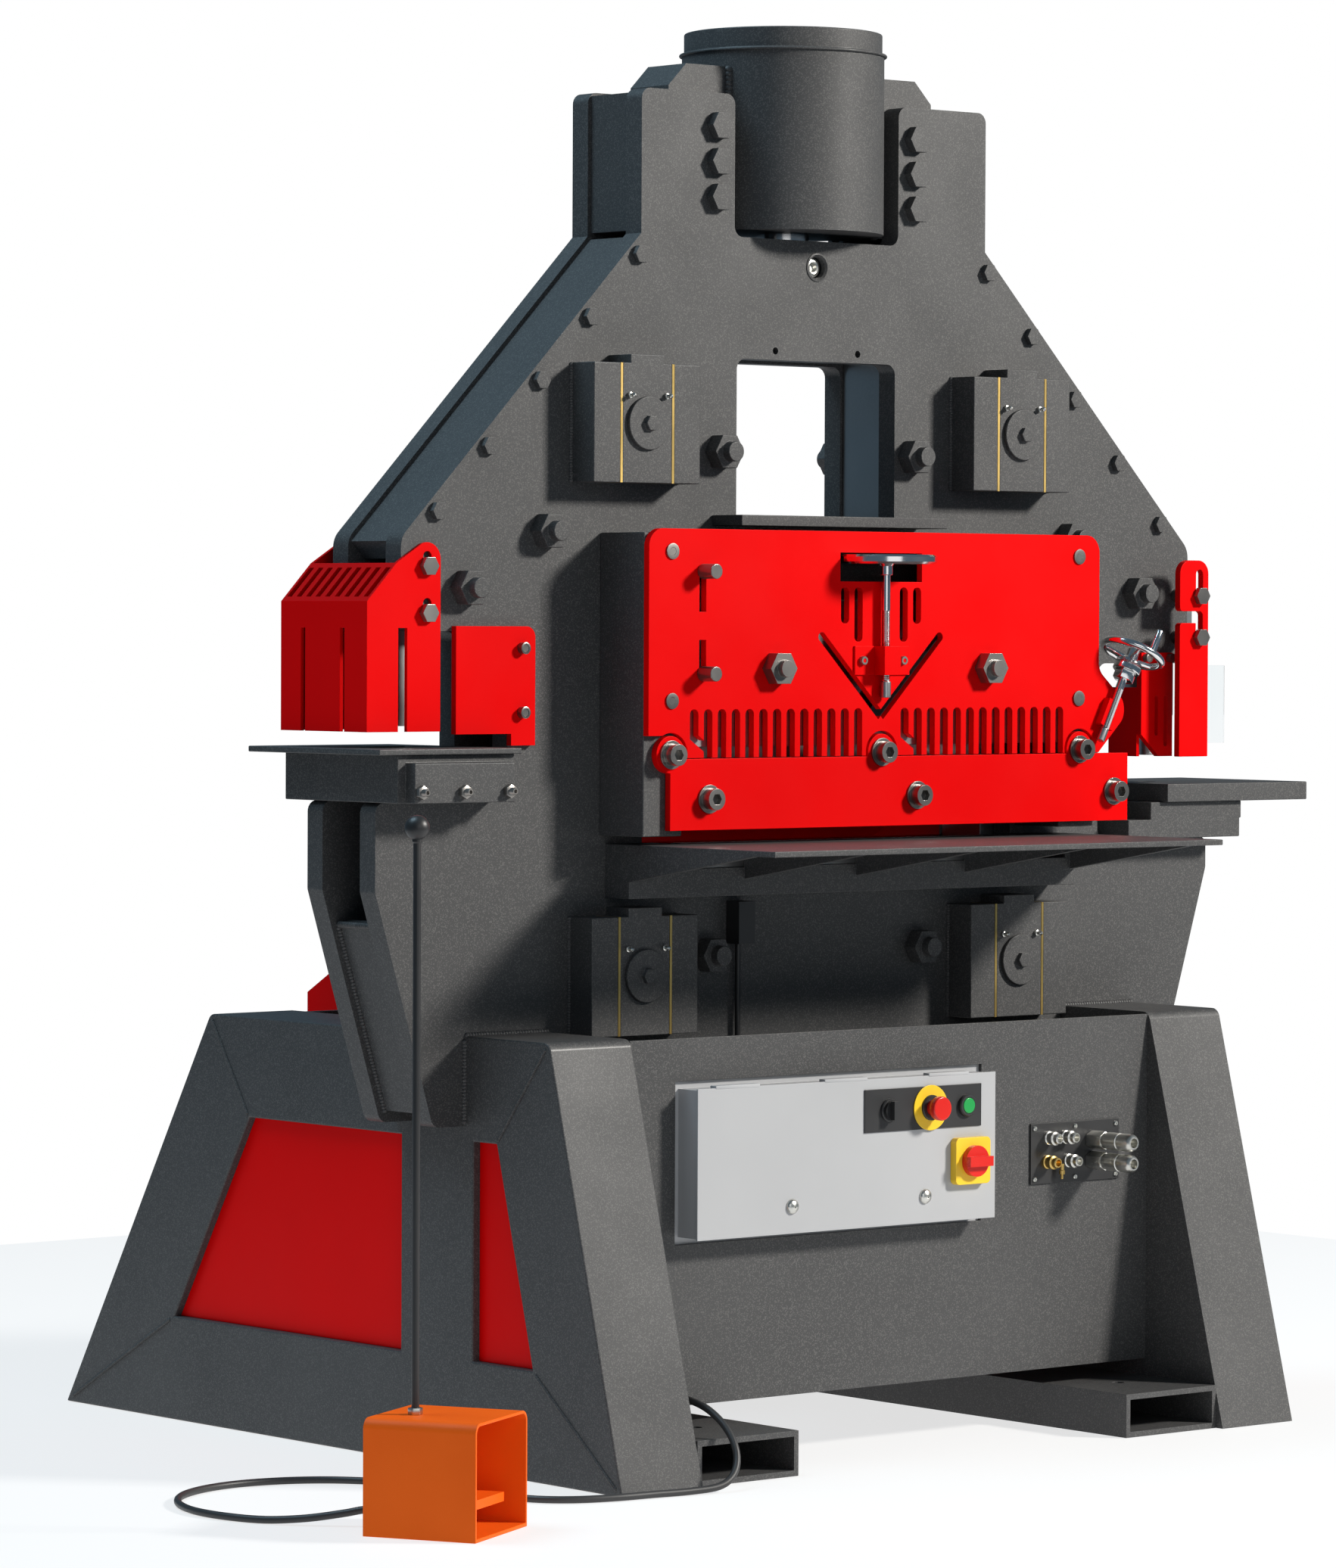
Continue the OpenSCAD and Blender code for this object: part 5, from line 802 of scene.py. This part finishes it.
# %% Close the pin hole above the press window
BUSH = [(20.4, 0), (20.4, 1.2), (18.2, 1.6), (15.5, -1), (15, -9), (20, -9), (20, 0)]
PLUG = [(0, -14), (4, -14), (6.5, -9), (9, -8), (13, -9), (14.9, -13), (14.9, -16), (0, -16)]
PIN_Z = 1663
pin_hole = turn_to(FRONT, spot(0, 0, PIN_Z))
bm = bmesh.new()
turned(bm, BUSH, pin_hole, 40)
add_piece("pin_bush", bm, "charcoal_paint", "frame")
bm = bmesh.new()
turned(bm, PLUG, pin_hole, 32)
add_piece("pin_plug", bm, "zinc_steel", "frame")
print("pin hole closed")

# %% [markdown]
# ## Floor and light
# The picture has an almost white ground and a hard main light from the front right, which throws the
# shadows to the left. A cool, wide light from above at the back left draws the slopes and the tops. The
# backdrop is white where it is seen, also through the clear shield, but it lights the machine only a little.

# %% Lay the floor
FLOOR_HALF, FLOOR_DROP = 2.6, 0.0005
FLOOR_GREY, FLOOR_GLOW = 0.24, 0.72
bm = bmesh.new()
bmesh.ops.create_grid(bm, x_segments=1, y_segments=1, size=FLOOR_HALF)
floor_mesh = bpy.data.meshes.new("floor")
bm.to_mesh(floor_mesh)
bm.free()
floor_paint = bpy.data.materials.new("floor_paint")
floor_paint.use_nodes = True
floor_shader = floor_paint.node_tree.nodes["Principled BSDF"]
floor_shader.inputs["Base Color"].default_value = (FLOOR_GREY, FLOOR_GREY, FLOOR_GREY, 1)
floor_shader.inputs["Roughness"].default_value = 0.7
floor_shader.inputs["Emission Color"].default_value = (1, 1, 1, 1)
floor_shader.inputs["Emission Strength"].default_value = FLOOR_GLOW
floor_mesh.materials.append(floor_paint)
floor = bpy.data.objects.new("floor", floor_mesh)
floor.location.z = -FLOOR_DROP
bpy.context.scene.collection.objects.link(floor)
print("floor laid")


# %% Place the lights
def area_light(name, place, aim_at, size, power, colour):
    data = bpy.data.lights.new(name, "AREA")
    data.size = size
    data.energy = power
    data.color = colour
    light = bpy.data.objects.new(name, data)
    light.location = place
    light.rotation_mode = "QUATERNION"
    light.rotation_quaternion = (Vector(aim_at) - Vector(place)).to_track_quat("-Z", "Y")
    bpy.context.scene.collection.objects.link(light)


area_light("main_light", (4.2, -5.4, 4.4), (0, -0.3, 0.9), 1.0, 800, (1.0, 0.96, 0.90))
area_light("cool_top_light", (-2.8, 1.2, 6.2), (-0.3, 0, 1.0), 3.0, 240, (0.60, 0.84, 1.0))
area_light("front_fill", (-2.6, -6.5, 2.2), (0, -0.3, 0.9), 4.0, 50, (1.0, 0.98, 0.96))
print("lights", len(bpy.data.lights))

# %% Set the backdrop
SKY_LIGHT = 0.15
world = bpy.data.worlds.new("studio")
world.use_nodes = True
sky = world.node_tree
backdrop = sky.nodes["Background"]
backdrop.inputs["Color"].default_value = (0.50, 0.76, 1.0, 1)
backdrop.inputs["Strength"].default_value = SKY_LIGHT
seen = sky.nodes.new("ShaderNodeBackground")
seen.inputs["Color"].default_value = (1, 1, 1, 1)
rays = sky.nodes.new("ShaderNodeLightPath")
pick = sky.nodes.new("ShaderNodeMixShader")
through = sky.nodes.new("ShaderNodeMath")
through.operation = "MAXIMUM"
sky.links.new(rays.outputs["Is Camera Ray"], through.inputs[0])
sky.links.new(rays.outputs["Is Transmission Ray"], through.inputs[1])
sky.links.new(through.outputs[0], pick.inputs["Fac"])
sky.links.new(backdrop.outputs[0], pick.inputs[1])
sky.links.new(seen.outputs[0], pick.inputs[2])
sky.links.new(pick.outputs[0], sky.nodes["World Output"].inputs["Surface"])
bpy.context.scene.world = world
bpy.context.scene.view_settings.view_transform = "Standard"
print("backdrop set")
